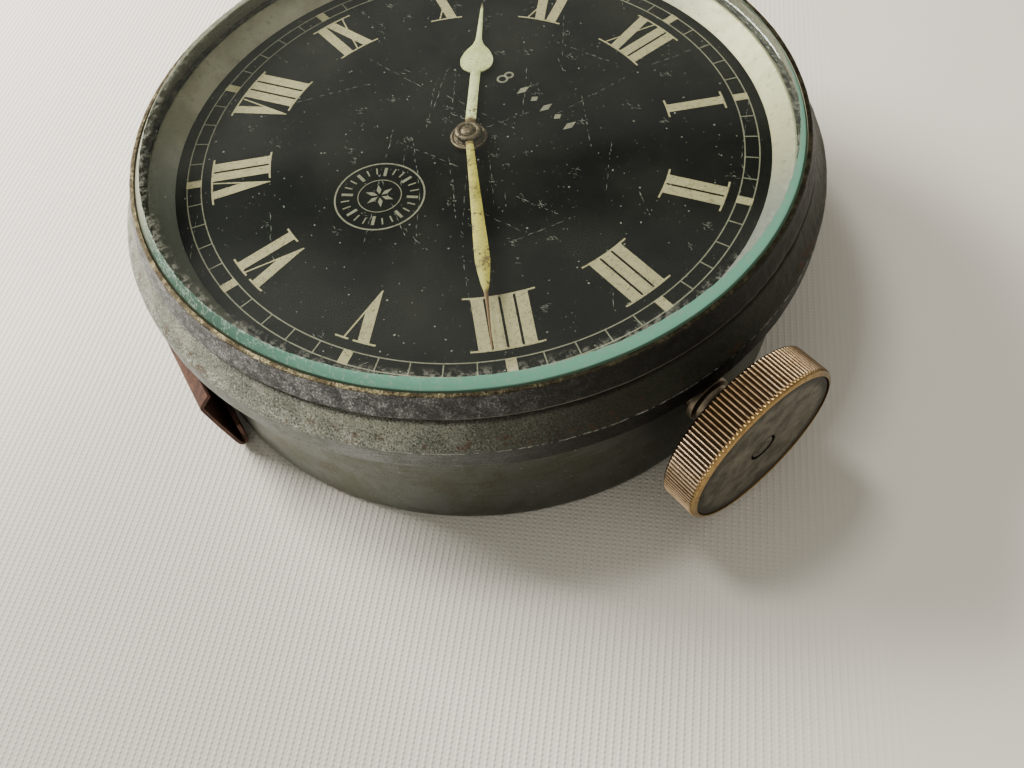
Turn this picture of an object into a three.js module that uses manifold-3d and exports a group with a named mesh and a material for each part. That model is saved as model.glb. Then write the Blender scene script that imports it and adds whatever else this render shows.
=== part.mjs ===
// Eight-day dashboard clock: a flanged round case with a beveled glass, a Roman dial, two hands,
// a knurled winding knob on the side, two spring clips, and the movement that drives the hands.
// Millimetres. Origin: centre of the flat back. +Z: out through the dial. +X: three o'clock.
import * as THREE from 'three';
import { mergeVertices } from 'three/addons/utils/BufferGeometryUtils.js';
import Module from 'manifold-3d';

const wasm = await Module();
wasm.setup();

// ---------------------------------------------------------------- driving dimensions

const CASE = { radius: 36.5, wall: 1.2, top: 17.5, edge: 0.6, seatRadius: 33.9, seatDepth: 0.8 };
const BACK = { radius: 35.0, thickness: 1.2, ledgeRadius: 30.4, ledgeTop: 2.7, ledgeBottom: 1.5 };
const COVER_SCREW = {
  azimuths: [90, 210, 330], circle: 31.8, shank: 0.6, head: 1.4, sink: 1.7, hole: 0.8, thread: 0.75,
};
const BEZEL = {
  flangeRadius: 38.8, flangeUnder: 16.2, flangeEdge: 18.8, grooveRadius: 37.0, grooveHeight: 21.6,
  lipRadius: 36.3, lipHeight: 24.2, boreRadius: 35.2, shelf: 22.2, caseGap: 0.12,
};
const GLASS = { radius: 35.8, flatRadius: 34.9, under: 22.7, bevelFoot: 23.9, top: 25.3 };
const DIAL = { radius: 34.95, visibleRadius: 32.8, face: 20.3, thickness: 0.5, hole: 1.9 };
const STEM = { height: 11.7, radius: 0.95, bore: 1.1, innerEnd: 19.6, caseHole: 2.0 };
const KNOB = { radius: 9.45, back: 41.2, front: 45.4, faceRadius: 8.2, rivetHole: 1.55 };
const MAIN_PLATE = { radius: 34.9, bottom: 16.0, top: 17.6 };
const REAR_PLATE = { radius: 32.5, bottom: 6.6, top: 8.0 };
const CLIP = {
  azimuths: { lower: -97.5, upper: 82.5 }, width: 16.4, thickness: 0.45, screwHeight: 2.6, hole: 0.75,
};
const REST_AZIMUTH = { hourHand: 138.6, minuteHand: -33 };

const ROUND = 40;
const SMALL_ROUND = 12;
const PIVOT_ROUND = 8;
const PIVOT = { radius: 0.3, hole: 0.4, frontEnd: 17.5 };
const POST_HOLE = 1.05;

// Tooth numbers. Barrel to centre arbor is 1 turn in 48 hours; the fourth arbor turns once a minute.
const TEETH = {
  barrel: 64, intermediatePinion: 8, intermediate: 48, centrePinion: 8, centre: 64, thirdPinion: 8,
  third: 60, fourthPinion: 8, fourth: 60, escapePinion: 6, escape: 15,
  cannon: 10, minute: 30, minutePinion: 8, hour: 32, setting: 20,
  windingPinion: 12, crown: 36, transfer: 20, ratchet: 36,
};
const MODULES = {
  barrel: 0.36, intermediate: 0.36, centre: 0.27, third: 0.24, fourth: 0.22,
  motion: 0.35, winding: 0.35,
};

// Heights of each layer, from back to dial: [bottom, top].
const LAYER = {
  regulator: [1.45, 1.75], balanceCock: [1.95, 2.85], hairspring: [3.1, 3.5], balance: [3.8, 4.8],
  ratchet: [5.3, 6.3], click: [5.4, 6.2], crown: [8.3, 9.1], intermediateWheel: [8.6, 9.2],
  centrePinion: [8.35, 9.5], thirdWheel: [9.9, 10.5], fourthPinion: [9.7, 10.8],
  centreWheel: [11.6, 12.2], thirdPinion: [11.3, 12.5], fourthWheel: [13.2, 13.8],
  escapePinion: [13.0, 14.1], escapeWheel: [10.2, 10.8], pallets: [10.2, 10.8],
  barrelTeeth: [14.2, 15.0], intermediatePinion: [14.0, 15.2],
  cannonTeeth: [17.95, 18.75], minuteWheel: [18.05, 18.5], minutePinion: [18.55, 19.5],
  hourWheel: [18.95, 19.4], hourHand: [20.8, 21.0], minuteHand: [21.45, 21.65],
};

// ---------------------------------------------------------------- arithmetic

const TAU = Math.PI * 2;
const radians = (degrees) => THREE.MathUtils.degToRad(degrees);
const polar = (radius, degrees) => new THREE.Vector2(
  radius * Math.cos(radians(degrees)),
  radius * Math.sin(radians(degrees)),
);
const centreDistance = (module, teethA, teethB) => (module * (teethA + teethB)) / 2;

/** The point at distances fromA and fromB of two centres, on the left of the way from a to b. */
function placeBetween(a, b, fromA, fromB) {
  const way = b.clone().sub(a);
  const span = way.length();
  const along = (fromA ** 2 - fromB ** 2 + span ** 2) / (2 * span);
  const aside = Math.sqrt(fromA ** 2 - along ** 2);
  const unit = way.normalize();
  const left = new THREE.Vector2(-unit.y, unit.x);
  return a.clone().addScaledVector(unit, along).addScaledVector(left, aside);
}

const directionTo = (from, to) => Math.atan2(to.y - from.y, to.x - from.x);

/** The phase of a gear that meshes with one whose phase is known, on the line from it to the gear. */
function meshPhase(teethFrom, phaseFrom, direction, teethTo) {
  const offset = (phaseFrom - direction) / (TAU / teethFrom);
  return direction + Math.PI - (offset + 0.5) * (TAU / teethTo);
}

// ---------------------------------------------------------------- solids

/** Merges shared vertices, drops empty triangles and turns the faces outward. */
function closeUp(source) {
  const bare = source.clone();
  bare.deleteAttribute('normal');
  bare.deleteAttribute('uv');
  const merged = mergeVertices(bare, 1e-4);
  const at = merged.getAttribute('position');
  const corners = [];
  let volume = 0;
  for (let i = 0; i < merged.index.count; i += 3) {
    const [a, b, c] = [0, 1, 2].map((k) => merged.index.getX(i + k));
    if (a === b || b === c || c === a) continue;
    corners.push([a, b, c]);
    const [p, q, r] = [a, b, c].map((k) => new THREE.Vector3().fromBufferAttribute(at, k));
    volume += p.dot(q.cross(r)) / 6;
  }
  const index = corners.flatMap(([a, b, c]) => (volume > 0 ? [a, b, c] : [a, c, b]));
  const out = new THREE.BufferGeometry();
  out.setAttribute('position', at.clone());
  out.setIndex(index);
  return out;
}

function toManifold(source) {
  const closed = closeUp(source);
  return new wasm.Manifold(new wasm.Mesh({
    numProp: 3,
    vertProperties: new Float32Array(closed.getAttribute('position').array),
    triVerts: new Uint32Array(closed.index.array),
  }));
}

function fromManifold(solid) {
  const mesh = solid.getMesh();
  const out = new THREE.BufferGeometry();
  out.setAttribute('position', new THREE.BufferAttribute(new Float32Array(mesh.vertProperties), 3));
  out.setIndex([...mesh.triVerts]);
  return out;
}

function cut(body, ...tools) {
  return fromManifold(tools.reduce((rest, tool) => rest.subtract(toManifold(tool)), toManifold(body)));
}

function join(body, ...others) {
  return fromManifold(others.reduce((sum, other) => sum.add(toManifold(other)), toManifold(body)));
}

/** A turned solid about +Z. Points are [radius, height]; a ring's outline closes on itself. */
function turned(points, segments = ROUND) {
  const onAxis = points[0][0] === 0 && points[points.length - 1][0] === 0;
  const outline = onAxis ? points : [...points, points[0]];
  const profile = outline.map(([radius, height]) => new THREE.Vector2(radius, height));
  return closeUp(new THREE.LatheGeometry(profile, segments).rotateX(Math.PI / 2));
}

function disc(radius, [bottom, top], segments = SMALL_ROUND) {
  return turned([[0, bottom], [radius, bottom], [radius, top], [0, top]], segments);
}

function ring(inner, outer, [bottom, top], segments = ROUND) {
  return turned([[inner, bottom], [outer, bottom], [outer, top], [inner, top]], segments);
}

function shapeOf(points) {
  return new THREE.Shape(points.map((p) => (p.isVector2 ? p : new THREE.Vector2(...p))));
}

function circlePath(radius, segments, centre = new THREE.Vector2()) {
  const points = [];
  for (let i = 0; i < segments; i += 1) {
    const turn = (TAU * i) / segments;
    points.push(new THREE.Vector2(
      centre.x + radius * Math.cos(turn),
      centre.y + radius * Math.sin(turn),
    ));
  }
  return new THREE.Path(points);
}

/** A flat shape made solid between two heights. */
function slab(shape, [bottom, top]) {
  const flat = new THREE.ExtrudeGeometry(shape, { depth: top - bottom, bevelEnabled: false });
  return closeUp(flat.translate(0, 0, bottom));
}

// ---------------------------------------------------------------- gears

// Tooth heights above and below the pitch circle, in modules.
const WHEEL_TOOTH = { addendum: 1.0, dedendum: 1.5 };
const LEAF = { addendum: 0.75, dedendum: 1.15 };
const SPOKE_WIDTH = 0.8;
const WINDOW_STEPS = 3;

/** A wheel's outline with pointed teeth; the first tooth's middle is at the phase angle. */
function wheelOutline(teeth, module, phase) {
  const pitch = TAU / teeth;
  const pitchRadius = (module * teeth) / 2;
  const tip = pitchRadius + module * WHEEL_TOOTH.addendum;
  const root = pitchRadius - module * WHEEL_TOOTH.dedendum;
  const points = [];
  for (let i = 0; i < teeth; i += 1) {
    const middle = phase + i * pitch;
    for (const [radius, turn] of [[tip, middle], [root, middle + pitch / 2]]) {
      points.push(new THREE.Vector2(radius * Math.cos(turn), radius * Math.sin(turn)));
    }
  }
  return points;
}

/** A pinion's outline with flat-topped leaves; the first leaf's middle is at the phase angle. */
function pinionOutline(teeth, module, phase) {
  const pitch = TAU / teeth;
  const pitchRadius = (module * teeth) / 2;
  const tip = pitchRadius + module * LEAF.addendum;
  const root = pitchRadius - module * LEAF.dedendum;
  const points = [];
  for (let i = 0; i < teeth; i += 1) {
    const middle = phase + i * pitch;
    const corners = [[root, -0.17], [tip, -0.09], [tip, 0.09], [root, 0.17]];
    for (const [radius, share] of corners) {
      const turn = middle + share * pitch;
      points.push(new THREE.Vector2(radius * Math.cos(turn), radius * Math.sin(turn)));
    }
  }
  return points;
}

/** A flat wheel with a bore and, where spokes are given, windows between them. */
function wheel({ teeth, module, phase, layer, bore, spokes = 0, hub = 1.4 }) {
  const shape = shapeOf(wheelOutline(teeth, module, phase));
  shape.holes.push(circlePath(bore, PIVOT_ROUND));
  const rim = (module * teeth) / 2 - module * WHEEL_TOOTH.dedendum - 0.7;
  for (let i = 0; i < spokes; i += 1) {
    const from = (TAU * i) / spokes;
    const to = (TAU * (i + 1)) / spokes;
    const [rimTrim, hubTrim] = [SPOKE_WIDTH / rim / 2, SPOKE_WIDTH / hub / 2];
    const window = [];
    for (let k = 0; k <= WINDOW_STEPS; k += 1) {
      const turn = from + rimTrim + ((to - from - 2 * rimTrim) * k) / WINDOW_STEPS;
      window.push(new THREE.Vector2(rim * Math.cos(turn), rim * Math.sin(turn)));
    }
    window.push(new THREE.Vector2(hub * Math.cos(to - hubTrim), hub * Math.sin(to - hubTrim)));
    window.push(new THREE.Vector2(hub * Math.cos(from + hubTrim), hub * Math.sin(from + hubTrim)));
    shape.holes.push(new THREE.Path(window));
  }
  return slab(shape, layer);
}

/** An arbor's radius between the plates: no thicker than the foot of its leaves. */
const arborRadius = ({ teeth, module }) => Math.min(0.75, module * (teeth / 2 - LEAF.dedendum) - 0.02);

/** An arbor with pivots at both ends and a pinion cut on it. */
function arborWithPinion({ teeth, module, phase, layer, from, to }) {
  const thick = arborRadius({ teeth, module });
  const shaft = turned([
    [0, from], [PIVOT.radius, from], [PIVOT.radius, REAR_PLATE.top + 0.15],
    [thick, REAR_PLATE.top + 0.25], [thick, MAIN_PLATE.bottom - 0.25],
    [PIVOT.radius, MAIN_PLATE.bottom - 0.15], [PIVOT.radius, to], [0, to],
  ], PIVOT_ROUND);
  const leaves = slab(shapeOf(pinionOutline(teeth, module, phase)), layer);
  return join(shaft, leaves);
}

// ---------------------------------------------------------------- where the arbors stand

const CENTRE = new THREE.Vector2(0, 0);
const BARREL = new THREE.Vector2(14, -14.5);
const INTERMEDIATE = placeBetween(
  BARREL,
  CENTRE,
  centreDistance(MODULES.barrel, TEETH.barrel, TEETH.intermediatePinion),
  centreDistance(MODULES.intermediate, TEETH.intermediate, TEETH.centrePinion),
);
const THIRD = polar(centreDistance(MODULES.centre, TEETH.centre, TEETH.thirdPinion), 100);
const FOURTH = polar(centreDistance(MODULES.third, TEETH.third, TEETH.fourthPinion), 170).add(THIRD);
const ESCAPE = polar(centreDistance(MODULES.fourth, TEETH.fourth, TEETH.escapePinion), 215).add(FOURTH);
const ESCAPE_RADIUS = 4.0;
const PALLET = polar(5.2, 235).add(ESCAPE);
const BALANCE = polar(7.0, 275).add(PALLET);
const MINUTE = new THREE.Vector2(centreDistance(MODULES.motion, TEETH.cannon, TEETH.minute), 0);
const SETTING = new THREE.Vector2(
  MINUTE.x + centreDistance(MODULES.motion, TEETH.minute, TEETH.setting),
  0,
);
const WINDING_PINION_X = 27.2;
const WINDING_PINION_RADIUS = (MODULES.winding * TEETH.windingPinion) / 2;
const CROWN_RADIUS = (MODULES.winding * TEETH.crown) / 2;
const CROWN = new THREE.Vector2(WINDING_PINION_X - CROWN_RADIUS, 0);
const RATCHET_MODULE = (2 * CROWN.distanceTo(BARREL)) / (TEETH.transfer + TEETH.ratchet);
const RATCHET_RADIUS = (RATCHET_MODULE * TEETH.ratchet) / 2;
const CLICK = polar(RATCHET_RADIUS + 4.9, 175).add(BARREL);
const PILLARS = [35, 135, 225, 345].map((azimuth) => polar(29.3, azimuth));
const COCK_FOOT = polar(27.3, 203);

// ---------------------------------------------------------------- the object's tree

const clock = new THREE.Group();

const FINISH = {
  gunmetal: { color: 0x4c4f46, roughness: 0.5, metalness: 0.8 },
  bezel: { color: 0x6b6560, roughness: 0.55, metalness: 0.7 },
  rubber: { color: 0x222222, roughness: 0.9, metalness: 0.0 },
  glass: { color: 0xbfd8cc, roughness: 0.05, metalness: 0.0, transparent: true, opacity: 0.25 },
  silver: { color: 0x9a948a, roughness: 0.4, metalness: 0.9 },
  black: { color: 0x2c2d2a, roughness: 0.6, metalness: 0.1 },
  rust: { color: 0x6b4a3a, roughness: 0.85, metalness: 0.3 },
  brass: { color: 0xb8975a, roughness: 0.35, metalness: 1.0 },
  steel: { color: 0x8b8d8c, roughness: 0.35, metalness: 1.0 },
  nickel: { color: 0xc0bdb2, roughness: 0.25, metalness: 1.0 },
  blued: { color: 0x3a4a66, roughness: 0.3, metalness: 1.0 },
  lume: { color: 0xd2cf9c, roughness: 0.8, metalness: 0.0 },
};

function add(name, geometry, finish, place = {}) {
  const closed = closeUp(geometry);
  closed.computeVertexNormals();
  const mesh = new THREE.Mesh(closed, new THREE.MeshStandardMaterial(FINISH[finish]));
  mesh.name = name;
  if (place.at) mesh.position.set(place.at.x, place.at.y, 0);
  if (place.turn) mesh.rotation.z = place.turn;
  clock.add(mesh);
}

// ---------------------------------------------------------------- case

const coverScrewPlaces = () => COVER_SCREW.azimuths.map((azimuth) => polar(COVER_SCREW.circle, azimuth));

function caseBody() {
  const inner = CASE.radius - CASE.wall;
  const seatTop = MAIN_PLATE.bottom - 0.3;
  const seatFoot = seatTop - CASE.seatDepth;
  const shell = turned([
    [inner, 0], [CASE.radius - CASE.edge, 0], [CASE.radius, CASE.edge], [CASE.radius, CASE.top],
    [inner, CASE.top], [inner, seatTop], [CASE.seatRadius, seatTop], [CASE.seatRadius, seatFoot],
    [inner, seatFoot], [inner, BACK.ledgeTop], [BACK.ledgeRadius, BACK.ledgeTop],
    [BACK.ledgeRadius, BACK.ledgeBottom], [inner, BACK.ledgeBottom],
  ]);
  const stemHole = disc(STEM.caseHole, [30, 40]).rotateY(Math.PI / 2).translate(0, 0, STEM.height);
  const threads = coverScrewPlaces().map((at) => (
    disc(COVER_SCREW.thread, [1, 4], PIVOT_ROUND).translate(at.x, at.y, 0)
  ));
  return cut(shell, stemHole, ...threads);
}

function backCover() {
  const plate = disc(BACK.radius, [0, BACK.thickness], ROUND);
  const { sink, hole } = COVER_SCREW;
  const counterbores = coverScrewPlaces().map((at) => turned([
    [0, -1], [sink, -1], [sink, 0.75], [hole, 0.75], [hole, 2], [0, 2],
  ], SMALL_ROUND).translate(at.x, at.y, 0));
  return cut(plate, ...counterbores);
}

function backScrew() {
  const { head, shank } = COVER_SCREW;
  const body = turned([
    [0, 0.2], [head, 0.2], [head, 0.65], [shank, 0.7], [shank, 2.6], [0, 2.6],
  ], SMALL_ROUND);
  const slot = new THREE.BoxGeometry(4, 0.3, 0.5).translate(0, 0, 0.2);
  return cut(body, slot);
}

function bezelRing() {
  const b = BEZEL;
  const lipInner = GLASS.radius - 0.05;
  const glassWell = GLASS.radius + 0.15;
  return turned([
    [CASE.radius + b.caseGap, b.flangeUnder], [b.flangeRadius - 0.2, b.flangeUnder],
    [b.flangeRadius, b.flangeUnder + 0.25], [b.flangeRadius, b.flangeEdge],
    [b.flangeRadius - 0.65, b.flangeEdge + 0.75],
    [b.flangeRadius - 1.25, b.flangeEdge + 1.7], [b.grooveRadius + 0.1, b.grooveHeight - 0.2],
    [b.grooveRadius - 0.15, b.grooveHeight - 0.1], [b.grooveRadius - 0.15, b.grooveHeight + 0.1],
    [b.grooveRadius, b.grooveHeight + 0.2], [b.lipRadius, b.lipHeight - 0.1],
    [b.lipRadius - 0.15, b.lipHeight + 0.1], [lipInner, b.lipHeight + 0.1], [lipInner, b.lipHeight - 0.1],
    [glassWell, GLASS.bevelFoot], [glassWell, b.shelf], [b.boreRadius, b.shelf],
    [b.boreRadius, CASE.top + 0.2], [CASE.radius + b.caseGap, CASE.top + 0.2],
  ]);
}

function glassPlate() {
  return turned([
    [0, GLASS.under], [GLASS.radius, GLASS.under], [GLASS.radius, GLASS.bevelFoot],
    [GLASS.flatRadius, GLASS.top], [0, GLASS.top],
  ]);
}

function rehautRing() {
  return turned([
    [DIAL.visibleRadius, DIAL.face + 0.1], [35.05, DIAL.face + 0.1], [35.05, 22.5], [34.75, 22.5],
  ]);
}

function dialPlate() {
  return ring(DIAL.hole, DIAL.radius, [DIAL.face - DIAL.thickness, DIAL.face]);
}

/** A bent spring leaf: a tab on the case wall, a fold at the foot, a bulge and an inward lip. */
function fixingClip() {
  const t = CLIP.thickness;
  const line = [
    [36.8, 4.2], [36.8, 0.9], [37.0, 0.55], [37.35, 0.5], [37.65, 0.9], [37.9, 2.2],
    [38.5, 5.7], [39.05, 9.5], [38.95, 9.95], [37.75, 11.1],
  ].map(([out, up]) => new THREE.Vector2(out, up));
  const side = (sign) => line.map((point, i) => {
    const before = line[Math.max(i - 1, 0)];
    const after = line[Math.min(i + 1, line.length - 1)];
    const way = after.clone().sub(before).normalize();
    return new THREE.Vector2(point.x + (sign * way.y * t) / 2, point.y - (sign * way.x * t) / 2);
  });
  const outline = shapeOf([...side(1), ...side(-1).reverse()]);
  const strip = new THREE.ExtrudeGeometry(outline, { depth: CLIP.width, bevelEnabled: false });
  strip.translate(0, 0, -CLIP.width / 2).rotateX(Math.PI / 2);
  const screwHole = disc(CLIP.hole, [36, 38], PIVOT_ROUND);
  return cut(strip, screwHole.rotateY(Math.PI / 2).translate(0, 0, CLIP.screwHeight));
}

function clipScrew() {
  const screw = turned([
    [0, 36.55], [0.55, 36.55], [0.55, 37.2], [1.0, 37.2], [0.85, 37.5], [0, 37.5],
  ], PIVOT_ROUND);
  return screw.rotateY(Math.PI / 2).translate(0, 0, CLIP.screwHeight);
}

function buildCase() {
  add('case_body', caseBody(), 'gunmetal');
  add('back_cover', backCover(), 'gunmetal');
  coverScrewPlaces().forEach((at, i) => add(`back_cover_screw_${i + 1}`, backScrew(), 'steel', { at }));
  add('bezel', bezelRing(), 'bezel');
  add('glass_gasket', ring(35.3, 35.85, [BEZEL.shelf + 0.1, GLASS.under - 0.1]), 'rubber');
  add('glass', glassPlate(), 'glass');
  add('rehaut_ring', rehautRing(), 'silver');
  add('dial', dialPlate(), 'black');
  add('dial_support_ring', ring(33.6, 35.0, [17.9, 19.7]), 'brass');
  for (const [side, azimuth] of Object.entries(CLIP.azimuths)) {
    add(`fixing_clip_${side}`, fixingClip(), 'rust', { at: CENTRE, turn: radians(azimuth) });
    add(`clip_screw_${side}`, clipScrew(), 'steel', { at: CENTRE, turn: radians(azimuth) });
  }
}

// ---------------------------------------------------------------- knob and winding work

/** Turned about +X at the stem's height. */
function turnedAlongStem(points, segments) {
  return turned(points, segments).rotateY(Math.PI / 2).translate(0, 0, STEM.height);
}

function knobRim() {
  const { radius, back, front, faceRadius } = KNOB;
  return turnedAlongStem([
    [STEM.bore, back - 1.2], [2.3, back - 1.2], [2.5, back], [radius - 0.4, back], [radius, back + 0.35],
    [radius, front - 0.7], [radius - 0.45, front - 0.15], [radius - 0.85, front],
    [faceRadius + 0.1, front], [faceRadius + 0.1, front - 0.7], [STEM.bore, front - 0.7],
  ], ROUND);
}

function buildKnob() {
  const { back, front, faceRadius, rivetHole } = KNOB;
  add('knob_rim', knobRim(), 'brass');
  add('knob_face', turnedAlongStem([
    [rivetHole, front - 0.55], [faceRadius, front - 0.55], [faceRadius, front - 0.15],
    [rivetHole, front - 0.15],
  ], ROUND), 'steel');
  add('knob_rivet', turnedAlongStem([
    [0, front - 0.5], [1.4, front - 0.5], [1.4, front], [1.0, front + 0.15], [0, front + 0.2],
  ], SMALL_ROUND), 'steel');
  add('winding_stem', turnedAlongStem([
    [0, STEM.innerEnd], [STEM.radius, STEM.innerEnd], [STEM.radius, front - 0.8], [0, front - 0.8],
  ], SMALL_ROUND), 'steel');
  add('stem_tube', turnedAlongStem([
    [STEM.bore, 34.0], [1.8, 34.0], [1.8, 37.5], [2.6, 37.5], [2.6, 38.1], [2.1, 38.3],
    [2.1, back - 1.5], [STEM.bore, back - 1.5],
  ], SMALL_ROUND), 'nickel');
}

/** A short toothed cylinder on the stem, with a clearance bore. */
function stemPinion(teeth, from, to) {
  const outline = shapeOf(pinionOutline(teeth, MODULES.winding, Math.PI + Math.PI / teeth));
  outline.holes.push(circlePath(STEM.bore, SMALL_ROUND));
  return slab(outline, [from, to]).rotateY(Math.PI / 2).translate(0, 0, STEM.height);
}

/** The crown wheel: a disc with upright teeth that stand in a circle and meet the stem's pinion. */
function crownWheel() {
  const pitch = TAU / TEETH.crown;
  const toothTop = STEM.height - WINDING_PINION_RADIUS + MODULES.winding * 0.7;
  const toothFoot = STEM.height - WINDING_PINION_RADIUS - MODULES.winding * 1.0;
  const plate = disc(CROWN_RADIUS + 0.5, [LAYER.crown[0], toothFoot], ROUND);
  const arbor = turned([
    [0, 5.2], [0.9, 5.2], [0.9, 8.15], [1.8, 8.2], [1.8, toothFoot], [0, toothFoot],
  ], SMALL_ROUND);
  const teeth = [];
  const width = CROWN_RADIUS * pitch;
  for (let i = 0; i < TEETH.crown; i += 1) {
    const profile = shapeOf([
      [-0.17 * width, -0.1], [0.17 * width, -0.1], [0.09 * width, toothTop - toothFoot],
      [-0.09 * width, toothTop - toothFoot],
    ]);
    const tooth = new THREE.ExtrudeGeometry(profile, { depth: 0.8, bevelEnabled: false });
    tooth.rotateX(Math.PI / 2).rotateZ(Math.PI / 2).translate(CROWN_RADIUS - 0.4, 0, toothFoot);
    tooth.rotateZ(i * pitch);
    teeth.push(tooth);
  }
  return join(plate, arbor, ...teeth);
}

function click() {
  const hub = 1.3;
  const beak = new THREE.Vector2(4.0, 0);
  const outline = shapeOf([
    [-hub, -0.9], [0, -hub], [2.4, -1.15], beak, [2.6, 0.75], [0, hub], [-hub, 0.9],
  ]);
  outline.holes.push(circlePath(0.6, PIVOT_ROUND));
  return slab(outline, LAYER.click);
}

function buildWinding() {
  const teeth = TEETH;
  const x = WINDING_PINION_X;
  add('winding_pinion', stemPinion(teeth.windingPinion, x - 0.4, x + 1.4), 'steel');
  add('clutch_wheel', stemPinion(teeth.windingPinion, x - 4.2, x - 1.6), 'steel');
  add('crown_wheel', crownWheel(), 'steel', { at: CROWN });
  const towardBarrel = directionTo(CROWN, BARREL);
  add('transfer_wheel', wheel({
    teeth: teeth.transfer, module: RATCHET_MODULE, phase: towardBarrel, layer: LAYER.ratchet, bore: 1.0,
  }), 'steel', { at: CROWN });
  add('ratchet_wheel', wheel({
    teeth: teeth.ratchet, module: RATCHET_MODULE, layer: LAYER.ratchet, bore: 1.0,
    phase: meshPhase(teeth.transfer, towardBarrel, towardBarrel, teeth.ratchet),
  }), 'steel', { at: BARREL });
  add('click', click(), 'steel', { at: CLICK, turn: directionTo(CLICK, BARREL) + 0.2 });
}

// ---------------------------------------------------------------- barrel and going train

function barrelDrum(phase) {
  const drum = turned([
    [1.6, 10.2], [10.7, 10.2], [10.7, 15.0], [9.9, 15.0], [9.9, 10.8], [1.6, 10.8],
  ]);
  const outline = shapeOf(wheelOutline(TEETH.barrel, MODULES.barrel, phase));
  outline.holes.push(circlePath(10.3, ROUND));
  return join(drum, slab(outline, LAYER.barrelTeeth));
}

/** A flat spiral strip. */
function spiral({ inner, outer, turns, strip, layer, steps }) {
  const count = Math.round(turns * steps);
  const edge = (offset) => {
    const points = [];
    for (let i = 0; i <= count; i += 1) {
      const turn = (TAU * i) / steps;
      const radius = inner + ((outer - inner) * i) / count + offset;
      points.push(new THREE.Vector2(radius * Math.cos(turn), radius * Math.sin(turn)));
    }
    return points;
  };
  return slab(shapeOf([...edge(strip / 2), ...edge(-strip / 2).reverse()]), layer);
}

function buildBarrel() {
  const towardPinion = directionTo(BARREL, INTERMEDIATE);
  add('barrel_drum', barrelDrum(towardPinion), 'brass', { at: BARREL });
  add('barrel_cover', ring(1.6, 9.75, [14.4, 14.9]), 'brass', { at: BARREL });
  add('mainspring', spiral({
    inner: 2.4, outer: 9.4, turns: 5, strip: 0.4, layer: [11.0, 14.1], steps: 12,
  }), 'blued', { at: BARREL });
  add('barrel_arbor', turned([
    [0, 5.2], [0.9, 5.2], [0.9, 8.15], [1.5, 8.2], [1.5, 10.95], [2.0, 11.0], [2.0, 14.1],
    [1.5, 14.15], [1.5, 15.8], [0.9, 15.85], [0.9, PIVOT.frontEnd], [0, PIVOT.frontEnd],
  ], SMALL_ROUND), 'steel', { at: BARREL });
}

function escapeWheel() {
  const pitch = TAU / TEETH.escape;
  const points = [];
  for (let i = 0; i < TEETH.escape; i += 1) {
    const corners = [[2.9, 0.0], [ESCAPE_RADIUS, 0.34], [ESCAPE_RADIUS, 0.46], [3.0, 0.42]];
    for (const [radius, share] of corners) {
      const turn = (i + share) * pitch;
      points.push(new THREE.Vector2(radius * Math.cos(turn), radius * Math.sin(turn)));
    }
  }
  const shape = shapeOf(points);
  const arbor = arborRadius({ teeth: TEETH.escapePinion, module: MODULES.fourth });
  shape.holes.push(circlePath(arbor + 0.12, PIVOT_ROUND));
  return slab(shape, LAYER.escapeWheel);
}

/** One stage: an arbor with its pinion, and the wheel that rides on it. */
function stage({ name, at, from, pinion, previous, wheelTeeth, wheelModule, wheelLayer, next, ends }) {
  const fromPrevious = directionTo(previous.at, at);
  add(`${name}_arbor`, arborWithPinion({
    teeth: pinion.teeth, module: pinion.module, layer: pinion.layer,
    phase: meshPhase(previous.teeth, fromPrevious, fromPrevious, pinion.teeth),
    from, to: ends,
  }), 'steel', { at });
  if (!wheelTeeth) return;
  add(`${name}_wheel`, wheel({
    teeth: wheelTeeth, module: wheelModule, layer: wheelLayer, spokes: 4,
    bore: arborRadius(pinion) + 0.12, phase: directionTo(at, next),
  }), 'brass', { at });
}

function buildTrain() {
  const rear = REAR_PLATE.bottom + 0.1;
  const front = PIVOT.frontEnd;
  const t = TEETH;
  stage({
    name: 'intermediate', at: INTERMEDIATE, from: rear, ends: front,
    previous: { at: BARREL, teeth: t.barrel },
    pinion: { teeth: t.intermediatePinion, module: MODULES.barrel, layer: LAYER.intermediatePinion },
    wheelTeeth: t.intermediate, wheelModule: MODULES.intermediate, wheelLayer: LAYER.intermediateWheel,
    next: CENTRE,
  });
  stage({
    name: 'centre', at: CENTRE, from: rear, ends: 20.9,
    previous: { at: INTERMEDIATE, teeth: t.intermediate },
    pinion: { teeth: t.centrePinion, module: MODULES.intermediate, layer: LAYER.centrePinion },
    wheelTeeth: t.centre, wheelModule: MODULES.centre, wheelLayer: LAYER.centreWheel, next: THIRD,
  });
  stage({
    name: 'third', at: THIRD, from: rear, ends: front,
    previous: { at: CENTRE, teeth: t.centre },
    pinion: { teeth: t.thirdPinion, module: MODULES.centre, layer: LAYER.thirdPinion },
    wheelTeeth: t.third, wheelModule: MODULES.third, wheelLayer: LAYER.thirdWheel, next: FOURTH,
  });
  stage({
    name: 'fourth', at: FOURTH, from: rear, ends: front,
    previous: { at: THIRD, teeth: t.third },
    pinion: { teeth: t.fourthPinion, module: MODULES.third, layer: LAYER.fourthPinion },
    wheelTeeth: t.fourth, wheelModule: MODULES.fourth, wheelLayer: LAYER.fourthWheel, next: ESCAPE,
  });
  stage({
    name: 'escape', at: ESCAPE, from: rear, ends: front,
    previous: { at: FOURTH, teeth: t.fourth },
    pinion: { teeth: t.escapePinion, module: MODULES.fourth, layer: LAYER.escapePinion },
  });
  add('escape_wheel', escapeWheel(), 'steel', { at: ESCAPE });
}

// ---------------------------------------------------------------- escapement and balance

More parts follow.
